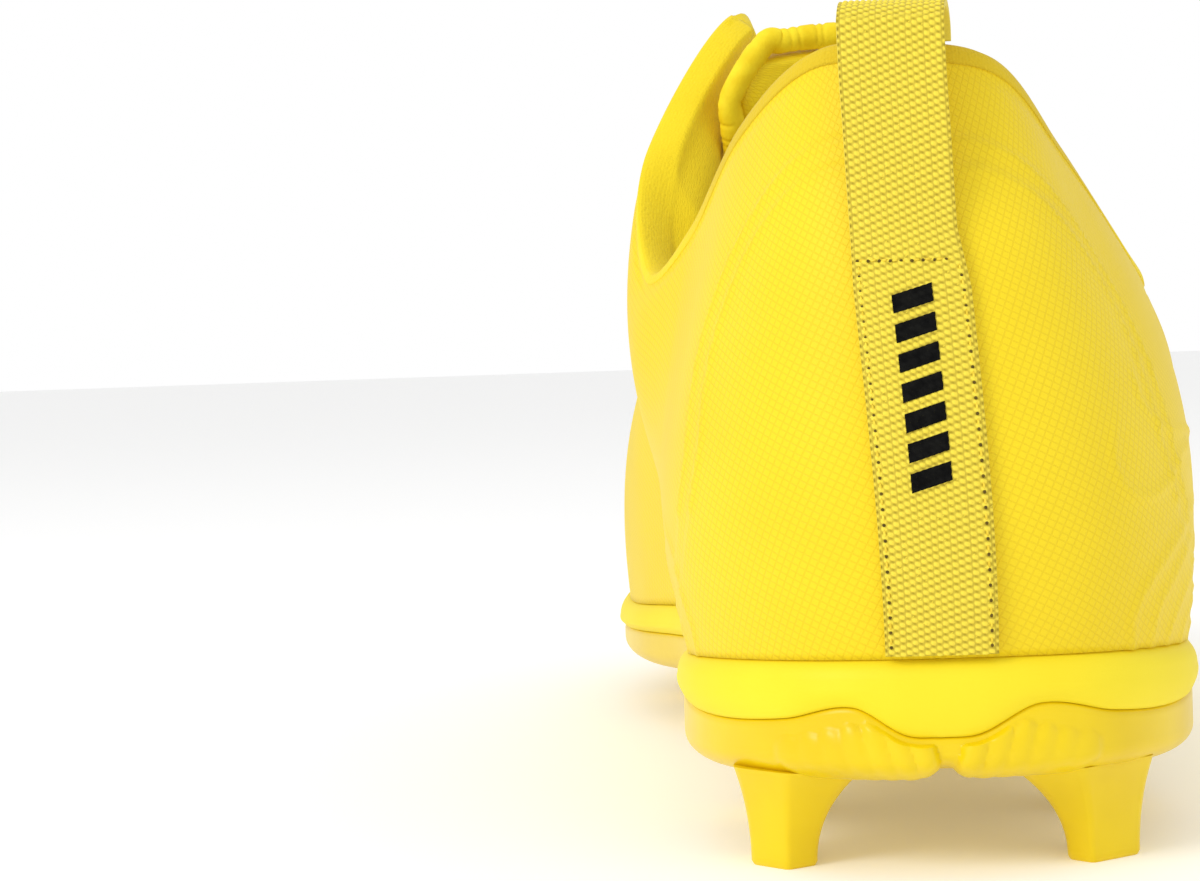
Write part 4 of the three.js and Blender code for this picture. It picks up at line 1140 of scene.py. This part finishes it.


# Stitches: one row down each side of the sewn run and a row across its top. The thread sinks
# into the weave, and each stitch ends in a dark ball of painted shade that stands for its needle hole.
thread = plain("sewing_thread", (0.88, 0.66, 0.03), 0.6)
blotch(thread, (0.92, 0.72, 0.05), (0.78, 0.55, 0.02), 900)
grain(thread, 4000, 0.00005)
# Painted shade: a dark brown for the inside of each needle hole.
needle_shade = plain("needle_hole_shade", (0.12, 0.075, 0.002), 0.9)
blotch(needle_shade, (0.13, 0.08, 0.002), (0.08, 0.05, 0.001), 900)
grain(needle_shade, 4000, 0.00005)
STITCH_PITCH = 2.1
STITCH_SIDE = 0.88
top_run = web_run[joint_at - 2]
spots = []
for side in (-STITCH_SIDE, STITCH_SIDE):
    for run in np.arange(1.5, top_run - 0.8, STITCH_PITCH):
        spots.append((run, side, run + 0.7 * STITCH_PITCH, side))
for s in np.linspace(-STITCH_SIDE, 0.7, 9):
    spots.append((top_run, s, top_run + 0.15, s + 0.14))


def seam_bits(name, material, bits):
    """Small stretched balls: each a middle, a direction and its half width and length."""
    form = bmesh.new()
    for middle, way, wide, long in bits:
        ball = bmesh.ops.create_icosphere(form, subdivisions=1, radius=0.5)["verts"]
        turn = Vector(way).to_track_quat("Z", "Y").to_matrix().to_4x4()
        place = Matrix.Translation(Vector(middle + STAND))
        shape = Matrix.Diagonal((wide, wide, long, 1))
        bmesh.ops.transform(form, matrix=Matrix.Scale(MM, 4) @ place @ turn @ shape, verts=ball)
    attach(as_piece(name, form, material), "shoe")


# Each stitch is a thread and a dark ball of painted shade for its needle hole.
thread_bits = []
needle_shade_bits = []
for run_a, s_a, run_b, s_b in spots:
    ends = on_web(np.array([run_a, run_b]), np.array([s_a, s_b]), 0.0)
    way = ends[1] - ends[0]
    thread_bits.append(((ends[0] + ends[1]) / 2, way, 0.4, np.linalg.norm(way)))
    needle_shade_bits.append((ends[0] - way * 0.12, way, 0.5, 0.55))
seam_bits("strap_stitches", thread, thread_bits)
seam_bits("needle_hole_shades", needle_shade, needle_shade_bits)

# The print: plain slanted bars of black ink on the webbing.
ink = plain("black_ink", (0.003, 0.003, 0.003), 0.8, Specular_IOR_Level=0.08)
blotch(ink, (0.003, 0.003, 0.003), (0.008, 0.008, 0.007), 700)
grain(ink, 3000, 0.00005)
print_low, print_high = np.interp([53.0, 81.0], web_outer[:, FACE_POINTS // 2, 2], web_run)
BARS = 7
BAR_SIDE = 0.36
pitch = (print_high - print_low) / BARS
bars = bmesh.new()
for bar_number in range(BARS):
    run, s = np.meshgrid(
        np.linspace(0, pitch * 0.62, 22), np.linspace(-BAR_SIDE, BAR_SIDE, 40), indexing="ij"
    )
    start = print_low + bar_number * pitch
    net = on_web(start + run + (s + BAR_SIDE) * 2.4, s + 0.02, 0.05)
    strip = bend("bar", net, ink)
    bars.from_mesh(strip.data)
    made = strip.data
    bpy.data.objects.remove(strip)
    bpy.data.meshes.remove(made)
printed = as_piece("strap_print", bars, ink)
thicken(printed, 0.00012)
fit(printed, "shoe", "print", "strap_mark")

# ---- Light and floor --------------------------------------------------------------------------
# A pale seamless floor under large soft lamps: one from above behind the camera, one from each
# side, so that the studs and the underside still read.
def soft_lamp(name, place, aim, size, watts):
    data = bpy.data.lights.new(name, "AREA")
    data.shape = "RECTANGLE"
    data.size, data.size_y = size
    data.energy = watts
    lamp = bpy.data.objects.new(name, data)
    bpy.context.collection.objects.link(lamp)
    lamp.location = place
    lamp.rotation_mode = "QUATERNION"
    lamp.rotation_quaternion = (Vector(aim) - Vector(place)).to_track_quat("-Z", "Y")
    return lamp


soft_lamp("key", (-0.75, -0.85, 0.7), (0, -0.1, 0.06), (0.5, 0.5), 5.5)
soft_lamp("fill", (0.9, -0.5, 0.35), (0, 0, 0.05), (0.7, 0.7), 0.5)
soft_lamp("top", (0, 0.1, 1.3), (0, 0, 0), (1.2, 1.2), 1.5)

world = bpy.data.worlds.new("studio")
bpy.context.scene.world = world
world.use_nodes = True
tree = world.node_tree
light = tree.nodes["Background"]
light.inputs["Color"].default_value = (1, 1, 1, 1)
light.inputs["Strength"].default_value = 0.78
# The backdrop that the camera sees is brighter than the light it gives, so it reads as white.
seen = tree.nodes.new("ShaderNodeBackground")
seen.inputs["Color"].default_value = (1, 1, 1, 1)
choice = tree.nodes.new("ShaderNodeMixShader")
rays = tree.nodes.new("ShaderNodeLightPath")
tree.links.new(rays.outputs["Is Camera Ray"], choice.inputs["Fac"])
tree.links.new(light.outputs[0], choice.inputs[1])
tree.links.new(seen.outputs[0], choice.inputs[2])
tree.links.new(choice.outputs[0], tree.nodes["World Output"].inputs["Surface"])
bpy.context.scene.view_settings.view_transform = "Standard"

floor_mesh = bmesh.new()
bmesh.ops.create_grid(floor_mesh, x_segments=1, y_segments=1, size=6.0)
pale = plain("pale_floor", (0.96, 0.96, 0.955), 0.8, Emission_Strength=0.14)
pale.node_tree.nodes["Principled BSDF"].inputs["Emission Color"].default_value = (1, 1, 1, 1)
floor = as_piece("floor", floor_mesh, pale)
